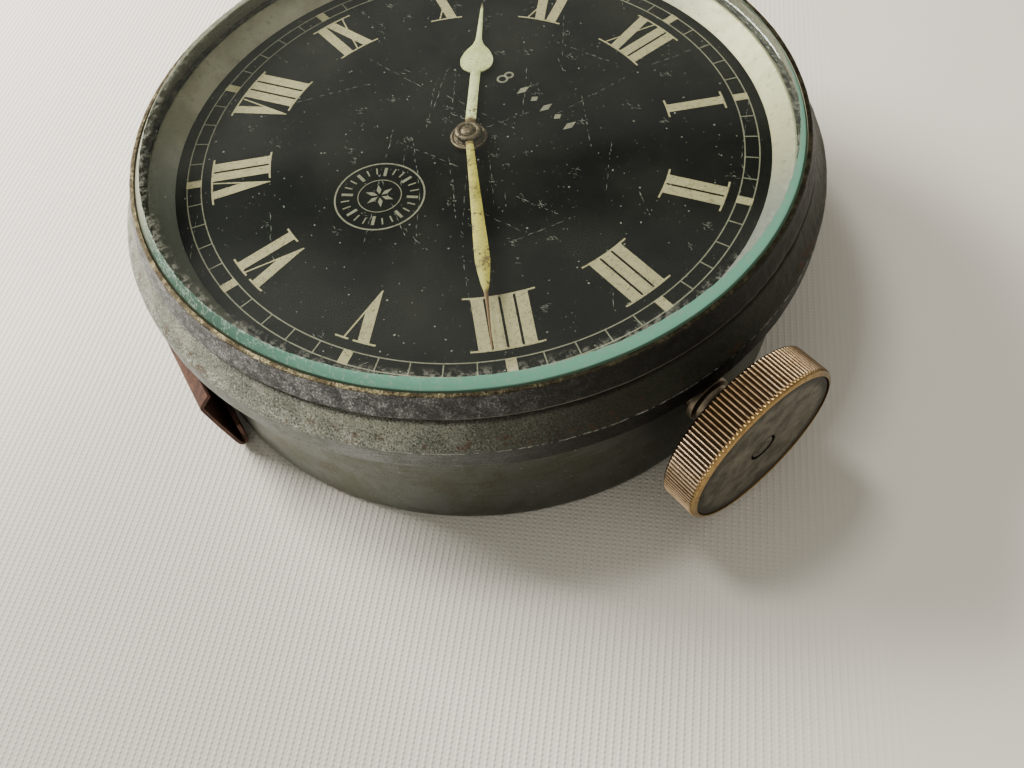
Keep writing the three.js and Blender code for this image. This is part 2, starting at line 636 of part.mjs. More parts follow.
/** The lever: two pallets that reach over the escape wheel, and a fork toward the balance. */
function palletFork() {
  const toWheel = directionTo(PALLET, ESCAPE);
  const reach = PALLET.distanceTo(ESCAPE);
  const clear = ESCAPE_RADIUS + 0.5;
  const pallet = (sign) => {
    const lean = sign * radians(38);
    return new THREE.Vector2(reach - clear * Math.cos(lean), clear * Math.sin(lean));
  };
  const [left, right] = [pallet(1), pallet(-1)];
  const arms = shapeOf([
    [-1.0, -0.9], [0.55, -0.9], [right.x - 0.1, right.y - 0.55], [right.x + 0.35, right.y - 0.35],
    [right.x, right.y + 0.15], [0.5, 0], [left.x, left.y - 0.15], [left.x + 0.35, left.y + 0.35],
    [left.x - 0.1, left.y + 0.55], [0.55, 0.9], [-1.0, 0.9],
  ]);
  const body = slab(arms, LAYER.pallets).rotateZ(toWheel);
  const toBalance = directionTo(PALLET, BALANCE);
  const forkEnd = PALLET.distanceTo(BALANCE) - 1.6;
  const fork = slab(shapeOf([
    [-0.6, -0.5], [forkEnd - 1.2, -0.3], [forkEnd - 0.7, -0.75], [forkEnd, -0.65], [forkEnd, -0.3],
    [forkEnd - 0.6, -0.25], [forkEnd - 0.6, 0.25], [forkEnd, 0.3], [forkEnd, 0.65],
    [forkEnd - 0.7, 0.75], [forkEnd - 1.2, 0.3], [-0.6, 0.5],
  ]), LAYER.pallets).rotateZ(toBalance);
  const staff = turned([
    [0, 6.7], [PIVOT.radius, 6.7], [PIVOT.radius, 8.15], [0.6, 8.25], [0.6, 15.75],
    [PIVOT.radius, 15.85], [PIVOT.radius, PIVOT.frontEnd], [0, PIVOT.frontEnd],
  ], PIVOT_ROUND);
  return join(body, fork, staff);
}

function balanceWheel() {
  const rim = shapeOf(circlePath(7.8, ROUND).getPoints());
  for (const side of [0, Math.PI]) {
    const window = [];
    for (let i = 0; i <= 10; i += 1) {
      const turn = side + 0.12 + ((Math.PI - 0.24) * i) / 10;
      window.push(new THREE.Vector2(6.7 * Math.cos(turn), 6.7 * Math.sin(turn)));
    }
    window.push(new THREE.Vector2(-1.2 * Math.cos(side), 1.0 * Math.cos(side)));
    window.push(new THREE.Vector2(1.2 * Math.cos(side), 1.0 * Math.cos(side)));
    rim.holes.push(new THREE.Path(window));
  }
  rim.holes.push(circlePath(0.6, PIVOT_ROUND));
  return slab(rim, LAYER.balance);
}

function balanceStaff() {
  const roller = LAYER.pallets;
  const staff = turned([
    [0, 2.1], [0.3, 2.1], [0.3, 3.0], [0.5, 3.05], [0.5, roller[0] - 0.1], [1.0, roller[0] - 0.1],
    [1.0, roller[1]], [0.5, roller[1]], [0.5, 15.75], [PIVOT.radius, 15.85],
    [PIVOT.radius, PIVOT.frontEnd], [0, PIVOT.frontEnd],
  ], SMALL_ROUND);
  const impulsePin = disc(0.2, [roller[0], roller[1] + 0.3], 8);
  const toFork = directionTo(BALANCE, PALLET);
  impulsePin.translate(0.95 * Math.cos(toFork), 0.95 * Math.sin(toFork), 0);
  return join(staff, impulsePin);
}

function balanceCock() {
  const foot = COCK_FOOT.clone().sub(BALANCE);
  const way = foot.clone().normalize();
  const side = new THREE.Vector2(-way.y, way.x);
  const corner = (along, aside) => way.clone().multiplyScalar(along).addScaledVector(side, aside);
  const length = foot.length();
  const arm = slab(shapeOf([
    corner(-1.8, -1.2), corner(0, -2.0), corner(length + 1.5, -2.6), corner(length + 2.0, 0),
    corner(length + 1.5, 2.6), corner(0, 2.0), corner(-1.8, 1.2),
  ]), LAYER.balanceCock);
  const block = slab(shapeOf([
    corner(length - 1.2, -2.4), corner(length + 1.4, -2.55), corner(length + 1.9, 0),
    corner(length + 1.4, 2.55), corner(length - 1.2, 2.4),
  ]), [LAYER.balanceCock[0] + 0.1, REAR_PLATE.bottom - 0.1]);
  const pivotHole = disc(0.4, [1, 4], PIVOT_ROUND);
  const screwHole = disc(0.7, [1, 8], PIVOT_ROUND).translate(foot.x, foot.y, 0);
  return cut(join(arm, block), pivotHole, screwHole);
}

function cockScrew() {
  return turned([
    [0, 1.35], [1.2, 1.35], [1.2, 1.85], [0.55, 1.85], [0.55, 7.8], [0, 7.8],
  ], SMALL_ROUND);
}

function regulator() {
  const outline = shapeOf([
    [-1.5, -1.0], [-1.0, -1.5], [1.0, -1.5], [1.5, -1.0], [1.5, -0.3], [6.4, -0.15], [6.4, 0.15],
    [1.5, 0.3], [1.5, 1.0], [1.0, 1.5], [-1.0, 1.5], [-1.5, 1.0],
  ]);
  outline.holes.push(circlePath(0.8, PIVOT_ROUND));
  return slab(outline, LAYER.regulator);
}

function clickSpring() {
  const outline = shapeOf([
    [-7.0, 1.9], [-5.6, 1.9], [-5.0, 2.6], [2.2, 1.75], [2.3, 2.0], [-5.0, 2.9], [-5.6, 3.6],
    [-7.0, 3.6],
  ]);
  return slab(outline, LAYER.click);
}

function buildEscapement() {
  add('pallet_fork', palletFork(), 'steel', { at: PALLET });
  add('balance_wheel', balanceWheel(), 'brass', { at: BALANCE });
  add('balance_staff', balanceStaff(), 'steel', { at: BALANCE });
  add('hairspring', spiral({
    inner: 1.0, outer: 4.6, turns: 4, strip: 0.14, layer: LAYER.hairspring, steps: 12,
  }), 'blued', { at: BALANCE });
  add('balance_cock', balanceCock(), 'brass', { at: BALANCE });
  add('cock_screw', cockScrew(), 'steel', { at: COCK_FOOT });
  add('regulator', regulator(), 'steel', { at: BALANCE, turn: radians(60) });
  add('click_spring', clickSpring(), 'steel', { at: CLICK, turn: directionTo(CLICK, BARREL) + 0.2 });
}

// ---------------------------------------------------------------- plates

const PIVOTED = [CENTRE, INTERMEDIATE, THIRD, FOURTH, ESCAPE, PALLET];
const throughHole = (radius, at) => disc(radius, [0, 30], PIVOT_ROUND).translate(at.x, at.y, 0);

function mainPlate() {
  const plate = disc(MAIN_PLATE.radius, [MAIN_PLATE.bottom, MAIN_PLATE.top], ROUND);
  const minutePost = disc(0.45, [MAIN_PLATE.top - 0.2, 19.7], PIVOT_ROUND);
  return cut(
    join(plate, minutePost.translate(MINUTE.x, MINUTE.y, 0)),
    ...PIVOTED.map((at) => throughHole(PIVOT.hole, at)),
    throughHole(PIVOT.hole, BALANCE),
    ...[BARREL, ...PILLARS].map((at) => throughHole(POST_HOLE, at)),
    throughHole(0.8, SETTING),
  );
}

function rearPlate() {
  const plate = disc(REAR_PLATE.radius, [REAR_PLATE.bottom, REAR_PLATE.top], ROUND);
  const clickPost = disc(0.5, [LAYER.click[0] - 0.3, REAR_PLATE.bottom + 0.2], PIVOT_ROUND);
  return cut(
    join(plate, clickPost.translate(CLICK.x, CLICK.y, 0)),
    ...PIVOTED.map((at) => throughHole(PIVOT.hole, at)),
    ...[BARREL, CROWN, ...PILLARS].map((at) => throughHole(POST_HOLE, at)),
    throughHole(0.7, COCK_FOOT),
    throughHole(1.2, BALANCE),
  );
}

function pillar() {
  return turned([
    [0, REAR_PLATE.bottom + 0.1], [0.9, REAR_PLATE.bottom + 0.1], [0.9, REAR_PLATE.top + 0.1],
    [1.5, REAR_PLATE.top + 0.15], [1.5, MAIN_PLATE.bottom - 0.15], [0.9, MAIN_PLATE.bottom - 0.1],
    [0.9, MAIN_PLATE.top - 0.1], [0, MAIN_PLATE.top - 0.1],
  ], PIVOT_ROUND);
}

function buildPlates() {
  add('main_plate', mainPlate(), 'brass');
  add('rear_plate', rearPlate(), 'brass');
  PILLARS.forEach((at, i) => add(`pillar_${i + 1}`, pillar(), 'brass', { at }));
}

// ---------------------------------------------------------------- motion work and hands

function cannonPinion() {
  const outline = pinionOutline(TEETH.cannon, MODULES.motion, Math.PI / TEETH.cannon);
  const leaves = slab(shapeOf(outline), LAYER.cannonTeeth);
  const [foot] = LAYER.cannonTeeth;
  const pipe = turned([
    [0, foot], [1.0, foot], [1.0, 21.35], [0.8, 21.4], [0.8, 21.8], [0.5, 22.0], [0, 22.1],
  ], SMALL_ROUND);
  return cut(join(leaves, pipe), disc(0.5, [17, 21.0], PIVOT_ROUND));
}

function minuteWheel() {
  const toCentre = Math.PI;
  const flat = slab(shapeOf(wheelOutline(TEETH.minute, MODULES.motion, toCentre)), LAYER.minuteWheel);
  const leaves = slab(shapeOf(pinionOutline(TEETH.minutePinion, MODULES.motion, toCentre)), [
    LAYER.minuteWheel[1] - 0.1, LAYER.minutePinion[1],
  ]);
  return cut(join(flat, leaves), disc(0.55, [17, 20], PIVOT_ROUND));
}

function hourWheel() {
  const phase = Math.PI / TEETH.hour;
  const flat = slab(shapeOf(wheelOutline(TEETH.hour, MODULES.motion, phase)), LAYER.hourWheel);
  const pipe = disc(1.6, [LAYER.hourWheel[0] + 0.1, 20.75], SMALL_ROUND);
  return cut(join(flat, pipe), disc(1.15, [18, 22], SMALL_ROUND));
}

/** A hand lying along +X, from [distance, half width] pairs, with a round boss. */
function hand(widths, boss, bore, layer) {
  const upper = widths.map(([out, half]) => new THREE.Vector2(out, half));
  const lower = [...upper].reverse().map((p) => new THREE.Vector2(p.x, -p.y));
  const blade = slab(shapeOf([...upper, ...lower]), layer);
  const round = disc(boss, layer, SMALL_ROUND);
  return cut(join(blade, round), disc(bore, [20, 23], SMALL_ROUND));
}

function hourHand() {
  return hand([
    [0.5, 0.62], [10.6, 0.57], [11.0, 0.78], [11.4, 1.4], [12.1, 1.82], [13.1, 1.94], [14.0, 1.72],
    [14.9, 1.32], [15.8, 0.72], [16.6, 0.42], [17.5, 0.3], [22.7, 0.16], [24.1, 0.05],
  ], 2.1, 1.2, LAYER.hourHand);
}

function minuteHand() {
  return hand([
    [0.5, 0.5], [3.0, 0.45], [10.0, 0.6], [17.5, 0.78], [20.2, 0.65], [23.4, 0.2], [29.6, 0.1],
  ], 1.55, 0.9, LAYER.minuteHand);
}

function settingWheel() {
  const phase = meshPhase(TEETH.minute, Math.PI, 0, TEETH.setting);
  const flat = slab(shapeOf(wheelOutline(TEETH.setting, MODULES.motion, phase)), LAYER.minuteWheel);
  const arbor = turned([
    [0, 14.6], [1.3, 14.6], [1.3, 15.7], [0.65, 15.75], [0.65, LAYER.minuteWheel[0] - 0.15],
    [1.2, LAYER.minuteWheel[0] - 0.1], [1.2, 19.2], [0, 19.2],
  ], PIVOT_ROUND);
  return join(flat, arbor);
}

function buildMotionWork() {
  add('cannon_pinion', cannonPinion(), 'steel');
  add('minute_wheel', minuteWheel(), 'brass', { at: MINUTE });
  add('setting_wheel', settingWheel(), 'brass', { at: SETTING });
  add('hour_wheel', hourWheel(), 'brass');
  add('hour_hand', hourHand(), 'lume', { at: CENTRE, turn: radians(REST_AZIMUTH.hourHand) });
  add('minute_hand', minuteHand(), 'lume', { at: CENTRE, turn: radians(REST_AZIMUTH.minuteHand) });
}

buildCase();
buildKnob();
buildWinding();
buildBarrel();
buildTrain();
buildEscapement();
buildPlates();
buildMotionWork();

export default clock;
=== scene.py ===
"""Looks of an eight-day dashboard clock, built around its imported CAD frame.

The dial faces +Z, twelve o'clock is +Y and the winding knob stands on +X. Lengths are millimetres,
turned into metres when a mesh, lamp or camera is made. Azimuths are degrees from +X towards +Y.
"""
import math
import random

import bmesh
import bpy
from mathutils import Matrix, Vector, noise


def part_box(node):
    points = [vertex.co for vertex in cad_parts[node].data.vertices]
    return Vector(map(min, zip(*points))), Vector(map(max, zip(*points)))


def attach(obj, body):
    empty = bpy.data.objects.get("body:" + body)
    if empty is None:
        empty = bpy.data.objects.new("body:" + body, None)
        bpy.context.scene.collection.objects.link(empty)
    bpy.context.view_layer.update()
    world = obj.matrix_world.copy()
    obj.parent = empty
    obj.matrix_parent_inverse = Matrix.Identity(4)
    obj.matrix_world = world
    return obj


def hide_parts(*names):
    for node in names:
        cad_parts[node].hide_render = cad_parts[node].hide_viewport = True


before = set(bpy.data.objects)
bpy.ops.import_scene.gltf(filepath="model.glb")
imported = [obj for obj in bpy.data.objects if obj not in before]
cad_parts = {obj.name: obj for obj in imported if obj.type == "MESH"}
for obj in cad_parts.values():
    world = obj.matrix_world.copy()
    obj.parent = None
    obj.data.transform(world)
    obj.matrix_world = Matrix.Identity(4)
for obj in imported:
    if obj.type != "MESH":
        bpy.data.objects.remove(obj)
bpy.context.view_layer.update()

# ---- sizes, millimetres

MM = 0.001
TAU = math.tau
SEGMENTS = 512


def low(node):
    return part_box(node)[0] / MM


def high(node):
    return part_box(node)[1] / MM


CASE_RADIUS = high("case_body").x
CASE_TOP = high("case_body").z
CASE_WALL = 1.2
COVER_RADIUS = high("back_cover").x
COVER_TOP = high("back_cover").z
FLANGE_RADIUS = high("bezel").x
FLANGE_UNDER = low("bezel").z
FLANGE_EDGE = FLANGE_UNDER + 2.6
GROOVE_FOOT = 21.3
GROOVE_TOP = 21.85
LIP_TOP = 24.3
GLASS_RADIUS = high("glass").x
GLASS_FLAT_RADIUS = GLASS_RADIUS - 0.9
GLASS_UNDER = low("glass").z
GLASS_TOP = high("glass").z
BEVEL_FOOT = GLASS_TOP - 1.4
DIAL_RADIUS = high("dial").x
DIAL_FACE = high("dial").z
DIAL_UNDER = low("dial").z
DIAL_OPENING = 32.8
REHAUT_TOP = high("rehaut_ring").z
KNOB_RADIUS = high("knob_rim").y
KNOB_FRONT = high("knob_rim").x
KNOB_BACK = KNOB_FRONT - 4.2
KNOB_FACE_RADIUS = KNOB_RADIUS - 0.68
STEM_HEIGHT = (high("knob_rim").z + low("knob_rim").z) / 2
STEM_BORE = 1.1
HOUR_HAND_AZIMUTH = 138.6
MINUTE_HAND_AZIMUTH = -33.0
CLIP_AZIMUTHS = {"lower": -97.5, "upper": 82.5}
CLIP_WIDTH = 16.4
CLIP_THICKNESS = 0.45
CLIP_SCREW_HEIGHT = 2.6
COVER_SCREW_AZIMUTHS = (90, 210, 330)
COVER_SCREW_CIRCLE = 31.8

# Printing on the dial.
PRINT_HEIGHT = 0.04
INK_FOOT = DIAL_FACE - 0.01
NUMERAL_INNER = 22.4
NUMERAL_OUTER = 28.8
BAR_WIDTH = 1.22
BAR_PITCH = 1.48
VEE_WIDTH = 1.2
HAIRLINE = 0.17
SERIF = 0.2
SERIF_OVERHANG = 0.8
TRACK_INNER = 30.0
TRACK_OUTER = 31.55
TRACK_LINE = 0.13
BLOCK_WIDTH = 1.05


def polar(radius, azimuth):
    turn = math.radians(azimuth)
    return Vector((radius * math.cos(turn), radius * math.sin(turn)))


# ---- solids: lists of points and faces

def rounded(outline, steps=5):
    """An outline with eased corners. A point is (radius, height) or (radius, height, ease)."""
    made = []
    for i, corner in enumerate(outline):
        here = Vector(corner[:2])
        if len(corner) == 2:
            made.append(here)
            continue
        before = Vector(outline[i - 1][:2]) - here
        after = Vector(outline[(i + 1) % len(outline)][:2]) - here
        start = here + before.normalized() * min(corner[2], before.length * 0.45)
        end = here + after.normalized() * min(corner[2], after.length * 0.45)
        for k in range(steps + 1):
            t = k / steps
            made.append(start * (1 - t) ** 2 + here * (2 * t * (1 - t)) + end * t * t)
    return made


def dense(outline, step):
    """The outline with points added, so that none of its stretches is longer than step."""
    closed = outline[0][0] > 0
    ends = outline[1:] + outline[:1] if closed else outline[1:]
    made = []
    for here, there in zip(outline, ends):
        count = max(1, math.ceil((there - here).length / step))
        made += [here.lerp(there, k / count) for k in range(count)]
    return made if closed else made + outline[-1:]


def lathe(outline, segments=SEGMENTS, shape=None):
    """A solid turned about +Z. An outline that starts on the axis ends there, and a ring's closes."""
    points = []
    rings = []
    for radius, height in outline:
        if radius < 1e-6:
            rings.append([len(points)] * segments)
            points.append(Vector((0, 0, height)))
            continue
        rings.append(list(range(len(points), len(points) + segments)))
        for k in range(segments):
            turn = TAU * k / segments
            points.append(Vector((radius * math.cos(turn), radius * math.sin(turn), height)))
    if outline[0][0] > 1e-6:
        rings.append(rings[0])
    faces = []
    for lower, upper in zip(rings, rings[1:]):
        for k in range(segments):
            j = (k + 1) % segments
            corners = [lower[k], lower[j], upper[j], upper[k]]
            faces.append(list(dict.fromkeys(corners)))
    if shape:
        points = [shape(p) for p in points]
    return points, faces


def prism(outline, bottom, top):
    """A flat outline made solid between two heights."""
    count = len(outline)
    points = [Vector((p[0], p[1], z)) for z in (bottom, top) for p in outline]
    faces = [list(range(count))[::-1], list(range(count, 2 * count))]
    for k in range(count):
        j = (k + 1) % count
        faces.append([k, j, count + j, count + k])
    return points, faces


def moved(solid, change):
    points, faces = solid
    return [change(p) for p in points], faces


def along_x(solid, height=STEM_HEIGHT):
    """A solid turned about +Z laid along +X: along the winding stem, or at another height."""
    return moved(solid, lambda p: Vector((p.z, p.y, height - p.x)))


def turned_to(solid, azimuth, out=0.0):
    turn = Matrix.Rotation(math.radians(azimuth), 3, "Z")
    return moved(solid, lambda p: turn @ (p + Vector((out, 0, 0))))


def joined(solids):
    points, faces = [], []
    for some_points, some_faces in solids:
        faces += [[k + len(points) for k in face] for face in some_faces]
        points += some_points
    return points, faces


def smooth_line(points, steps=8):
    """A curve through the points, as a Catmull-Rom spline."""
    made = []
    for i in range(len(points) - 1):
        a, b, c, d = (Vector(points[min(max(i + k, 0), len(points) - 1)]) for k in (-1, 0, 1, 2))
        for k in range(steps):
            t = k / steps
            made.append(0.5 * (
                2 * b + (c - a) * t + (2 * a - 5 * b + 4 * c - d) * t ** 2
                + (3 * b - a - 3 * c + d) * t ** 3
            ))
    return made + [Vector(points[-1])]


# ---- pieces

def linked(name, data):
    thing = bpy.data.objects.new(name, data)
    bpy.context.scene.collection.objects.link(thing)
    return thing


def new_object(name, solids):
    points, faces = joined(solids)
    mesh = bpy.data.meshes.new(name)
    mesh.from_pydata([p * MM for p in points], [], faces)
    shell = bmesh.new()
    shell.from_mesh(mesh)
    bmesh.ops.recalc_face_normals(shell, faces=shell.faces)
    shell.to_mesh(mesh)
    shell.free()
    return linked(name, mesh)


def drill(thing, cutters):
    """Cuts the solids out of the object."""
    tool = new_object("cutter", cutters)
    cut = thing.modifiers.new("cut", "BOOLEAN")
    cut.object = tool
    cut.solver = "EXACT"
    depsgraph = bpy.context.evaluated_depsgraph_get()
    mesh = bpy.data.meshes.new_from_object(thing.evaluated_get(depsgraph))
    thing.modifiers.clear()
    thing.data = mesh
    bpy.data.objects.remove(tool)


def soften(thing, width, segments=2):
    """Rounds the object's edges."""
    bevel = thing.modifiers.new("eased_edges", "BEVEL")
    bevel.width = width * MM
    bevel.segments = segments
    bevel.limit_method = "ANGLE"
    bevel.angle_limit = math.radians(32)
    bevel.harden_normals = True


def piece(name, solids, paint, nodes=(), body="root", sharp=32, holes=()):
    """One finished piece that rides on a body and stands for the named CAD nodes."""
    thing = new_object(name, solids)
    if holes:
        drill(thing, holes)
    thing.data.polygons.foreach_set("use_smooth", [True] * len(thing.data.polygons))
    thing.data.set_sharp_from_angle(angle=math.radians(sharp))
    thing.data.materials.append(paint)
    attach(thing, body)
    if nodes:
        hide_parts(*nodes)
    return thing


# ---- material building

def tone(red, green, blue):
    """A linear colour from display values out of 255."""
    def linear(value):
        share = value / 255
        return share / 12.92 if share <= 0.04045 else ((share + 0.055) / 1.055) ** 2.4
    return (linear(red), linear(green), linear(blue), 1.0)


def add_node(tree, kind, inputs, output=0, **settings):
    """Adds a node and returns one of its outputs. An input is a value, or an output to link."""
    made = tree.nodes.new(kind)
    for name, value in settings.items():
        setattr(made, name, value)
    for name, value in inputs.items():
        if isinstance(value, Output):
            tree.links.new(value.socket, made.inputs[name])
        elif value is not None:
            made.inputs[name].default_value = value
    return Output(made.outputs[output]) if made.outputs else None


class Output:
    """A node's output. A number can be added to, subtracted from and multiplied."""

    def __init__(self, socket):
        self.socket = socket

    def math(self, operation, other=0.0):
        tree = self.socket.id_data
        return add_node(tree, "ShaderNodeMath", {0: self, 1: other}, operation=operation)

    def __add__(self, other):
        return self.math("ADD", other)

    def __sub__(self, other):
        return self.math("SUBTRACT", other)

    def __mul__(self, other):
        return self.math("MULTIPLY", other)


class Paint:
    """A material under construction, with a colour of its own that takes coats of others.

    A colour is an output, or display values out of 255.
    """

    def __init__(self, name):
        self.material = bpy.data.materials.new(name)
        self.material.use_nodes = True
        self.material.node_tree.nodes.clear()
        place = self.node("ShaderNodeTexCoord", {}, "Object")
        self.place = self.node("ShaderNodeVectorMath", {0: place, "Scale": 1 / MM}, operation="SCALE")
        split = self.node("ShaderNodeSeparateXYZ", {0: self.place})
        self.x, self.y, self.z = (Output(socket) for socket in split.socket.node.outputs)
        self.radius = (self.x * self.x + self.y * self.y).math("SQRT")

    def node(self, kind, inputs, output=0, **settings):
        return add_node(self.material.node_tree, kind, inputs, output, **settings)

    def stretched(self, *factors):
        return self.node("ShaderNodeVectorMath", {0: self.place, 1: factors}, operation="MULTIPLY")

    def shifted(self, *distances):
        return self.node("ShaderNodeVectorMath", {0: self.place, 1: distances}, operation="ADD")

    def around(self, crowding):
        """Coordinates for lines that run round the Z axis, packed closely up and down it."""
        places = {0: self.x * 0.12, 1: self.y * 0.12, 2: self.z * crowding}
        return self.node("ShaderNodeCombineXYZ", places)

    def noise(self, scale, detail=3.0, roughness=0.55, at=None, distortion=0.0):
        return self.node("ShaderNodeTexNoise", {
            "Vector": at or self.place, "Scale": scale, "Detail": detail, "Roughness": roughness,
            "Distortion": distortion,
        })

    def band(self, value, start, end):
        """0 up to start, 1 from end on, and smooth between. Start may be the larger one."""
        return self.node("ShaderNodeMapRange", {
            "Value": value, "From Min": min(start, end), "From Max": max(start, end),
            "To Min": float(start > end), "To Max": float(start <= end),
        }, interpolation_type="SMOOTHSTEP")

    def between(self, value, start, end, ease):
        """1 where value lies between start and end."""
        rise = self.band(value, start - ease, start + ease)
        return rise * self.band(value, end + ease, end - ease)

    def span(self, share, lowest, highest):
        """A share from 0 to 1 spread over a range."""
        inputs = {"Value": share, "To Min": lowest, "To Max": highest}
        return self.node("ShaderNodeMapRange", inputs)

    def specks(self, scale, size):
        """Small round spots: size is their radius as a share of the cell."""
        cells = {"Vector": self.place, "Scale": scale}
        return self.band(self.node("ShaderNodeTexVoronoi", cells, "Distance"), size, size * 0.6)

    def cracks(self, scale, width):
        """Thin crooked lines, where a noise passes its middle."""
        away = (self.noise(scale, 3, 0.6) - 0.5).math("ABSOLUTE")
        return self.band(away, width, width * 0.4)

    def mix(self, share, a, b):
        a, b = (tone(*color) if isinstance(color, tuple) else color for color in (a, b))
        return self.node("ShaderNodeMix", {"Factor": share, 6: a, 7: b}, 2, data_type="RGBA")

    def base(self, share, a, b):
        """Makes the paint's own colour a mixture of two."""
        self.color = self.mix(share, a, b)

    def coat(self, share, above):
        """Lays a share of another colour over the paint's own."""
        self.color = self.mix(share, self.color, above)

    def bump(self, height, depth, normal=None):
        """Relief from a height of 0 to 1, depth in millimetres."""
        inputs = {"Distance": depth * MM, "Height": height, "Normal": normal}
        return self.node("ShaderNodeBump", inputs)

    def surface(self, roughness, normal=None, metallic=0.0, specular=0.5):
        """The paint's own colour on a surface that reflects."""
        return self.node("ShaderNodeBsdfPrincipled", {
            "Base Color": self.color, "Roughness": roughness, "Metallic": metallic,
            "Specular IOR Level": specular, "Normal": normal,
        })

    def blend(self, share, a, b):
        return self.node("ShaderNodeMixShader", {0: share, 1: a, 2: b})

    def done(self, shader):
        self.node("ShaderNodeOutputMaterial", {"Surface": shader})
        return self.material


# ---- materials of the case

def gunmetal_paint():
    """Mottled grey-green patina, faint turning marks and small pale nicks; painted shade toward +X and
    some painted light under the flange.
    """
    p = Paint("gunmetal")
    patches = p.band(p.noise(0.2, 6, 0.7), 0.4, 0.62)
    warm = p.band(p.noise(0.23, 4, 0.6, at=p.shifted(31, 5, 8)), 0.54, 0.68)
    fine = p.noise(4.5, 4, 0.75)
    streaks = p.band(p.noise(1.0, 5, 0.65, at=p.around(5.0)), 0.56, 0.72)
    # Share of painted shade: it grows toward +X, the side away from the window.
    painted_shade = p.band(p.x + p.y * 0.35, 0.0, 28.0)
    p.base(patches, (118, 123, 121), (92, 94, 75))
    p.coat(warm * 0.5, (84, 66, 44))
    p.coat(p.band(fine, 0.44, 0.52) * 0.6, (128, 131, 120))
    # A pale scratched band under the flange, painted lighter still: partly painted light that offsets
    # the flange's shadow.
    below_flange = p.band(p.z, FLANGE_UNDER - 0.5, FLANGE_UNDER + 0.3) * p.span(fine, 0.3, 0.8)
    p.coat(below_flange, (176, 181, 184))
    # Painted shade on the side away from the window.
    p.coat(painted_shade * 0.6, (40, 40, 31))
    p.coat(streaks * 0.22, (160, 160, 152))
    p.coat(p.band(fine, 0.56, 0.64) * 0.8, (44, 42, 32))
    p.coat(p.specks(0.9, 0.09) * 0.6, (176, 174, 160))
    rough = p.span(p.noise(0.5, 4, 0.6), 0.34, 0.58)
    scored = p.bump(p.noise(1.0, 5, 0.7, at=p.around(9.0)), 0.008)
    normal = p.bump(fine, 0.04, scored)
    return p.done(p.surface(rough, normal, 0.8))


def bezel_paint():
    """Patinated metal in four zones, with painted shade toward +X, the side away from the window."""
    p = Paint("patinated_bezel")
    height = p.z + p.span(p.noise(0.9, 4, 0.6), -0.2, 0.2)
    grain = p.noise(5.5, 3, 0.7)
    pits = p.band(grain, 0.52, 0.58)
    glints = p.band(p.noise(4.4, 3, 0.7, at=p.shifted(9, 4, 2)), 0.53, 0.61)
    patches = p.band(p.noise(0.3, 5, 0.65), 0.4, 0.6)
    # Painted shade: darker toward +X, the side away from the window; every zone below takes it.
    painted_shade = p.band(p.x + p.y * 0.35, 10.0, 33.0) * 0.96
    # The flange: pitted greenish grey, with rust toward its outer edge.
    p.base(patches, (122, 128, 117), (152, 155, 142))
    p.coat(glints * 0.6, (204, 204, 194))
    p.coat(pits * 0.7, (48, 46, 38))
    p.coat(painted_shade, (42, 43, 35))
    rust = p.band(p.noise(0.8, 5, 0.7), 0.55, 0.62) * p.between(p.z, 19.0, 20.0, 0.3)
    p.coat(rust * 0.6, (84, 52, 36))
    flange = p.color
    # The hammered slope: dark silver grey with bright specks.
    blotches = p.band(p.noise(0.7, 5, 0.7, at=p.shifted(2, 7, 5)), 0.42, 0.6)
    p.base(blotches, (82, 83, 85), (120, 121, 123))
    p.coat(glints * p.span(blotches, 0.2, 0.7), (206, 207, 210))
    p.coat(pits * 0.5, (46, 43, 42))
    p.coat(painted_shade, (32, 31, 26))
    slope = p.color
    # The rim below the flange and the thin lip against the glass.
    streaks = p.band(p.noise(1.0, 5, 0.7, at=p.around(7.0)), 0.48, 0.62)
    p.base(streaks * 0.4, (128, 132, 133), (172, 175, 174))
    p.coat(patches * 0.5, (96, 98, 86))
    p.coat(pits * 0.5, (60, 60, 52))
    p.coat(painted_shade, (21, 19, 13))
    rim = p.color
    p.base(p.band(p.noise(0.7, 5, 0.75), 0.46, 0.62), (66, 58, 42), (132, 124, 94))
    p.coat(pits * 0.7, (30, 24, 16))
    p.coat(painted_shade * 0.75, (24, 20, 13))
    lip = p.color
    p.base(p.band(height, FLANGE_EDGE - 0.05, FLANGE_EDGE + 0.15), rim, flange)
    p.coat(p.band(height, GROOVE_FOOT, GROOVE_TOP - 0.05), slope)
    # The groove is painted darker.
    groove = p.between(p.z, GROOVE_FOOT, GROOVE_TOP, 0.2)
    p.coat(groove * 0.6, (30, 27, 22))
    # A painted highlight: a thin light line along the groove's upper edge, on the side in painted
    # shade.
    painted_edge_highlight = p.between(p.z, GROOVE_TOP + 0.03, GROOVE_TOP + 0.15, 0.06) * painted_shade
    p.coat(painted_edge_highlight * 0.5, (150, 148, 138))
    p.coat(p.band(p.z, LIP_TOP - 0.14, LIP_TOP - 0.04), lip)
    inside = p.band(p.radius, GLASS_RADIUS + 0.25, GLASS_RADIUS + 0.2)
    p.coat(inside * p.band(p.z, LIP_TOP - 0.14, LIP_TOP - 0.2), (176, 168, 146))
    edge = p.between(p.z, FLANGE_EDGE - 0.08, FLANGE_EDGE + 0.04, 0.05)
    worn = edge * p.band(p.noise(1.1, 5, 0.75), 0.46, 0.54)
    p.coat(worn * p.span(glints, 0.35, 1.0), (184, 183, 176))
    rough = p.span(p.noise(1.2, 4, 0.6), 0.34, 0.56)
    dents = p.bump(p.noise(0.8, 3, 0.5), 0.2)
    normal = p.bump(grain, 0.12, dents)
    # Less metallic where the shade is painted, so that side reflects less.
    metal = p.span(painted_shade, 0.8, 0.25)
    return p.done(p.surface(rough, normal, metal, specular=0.1))


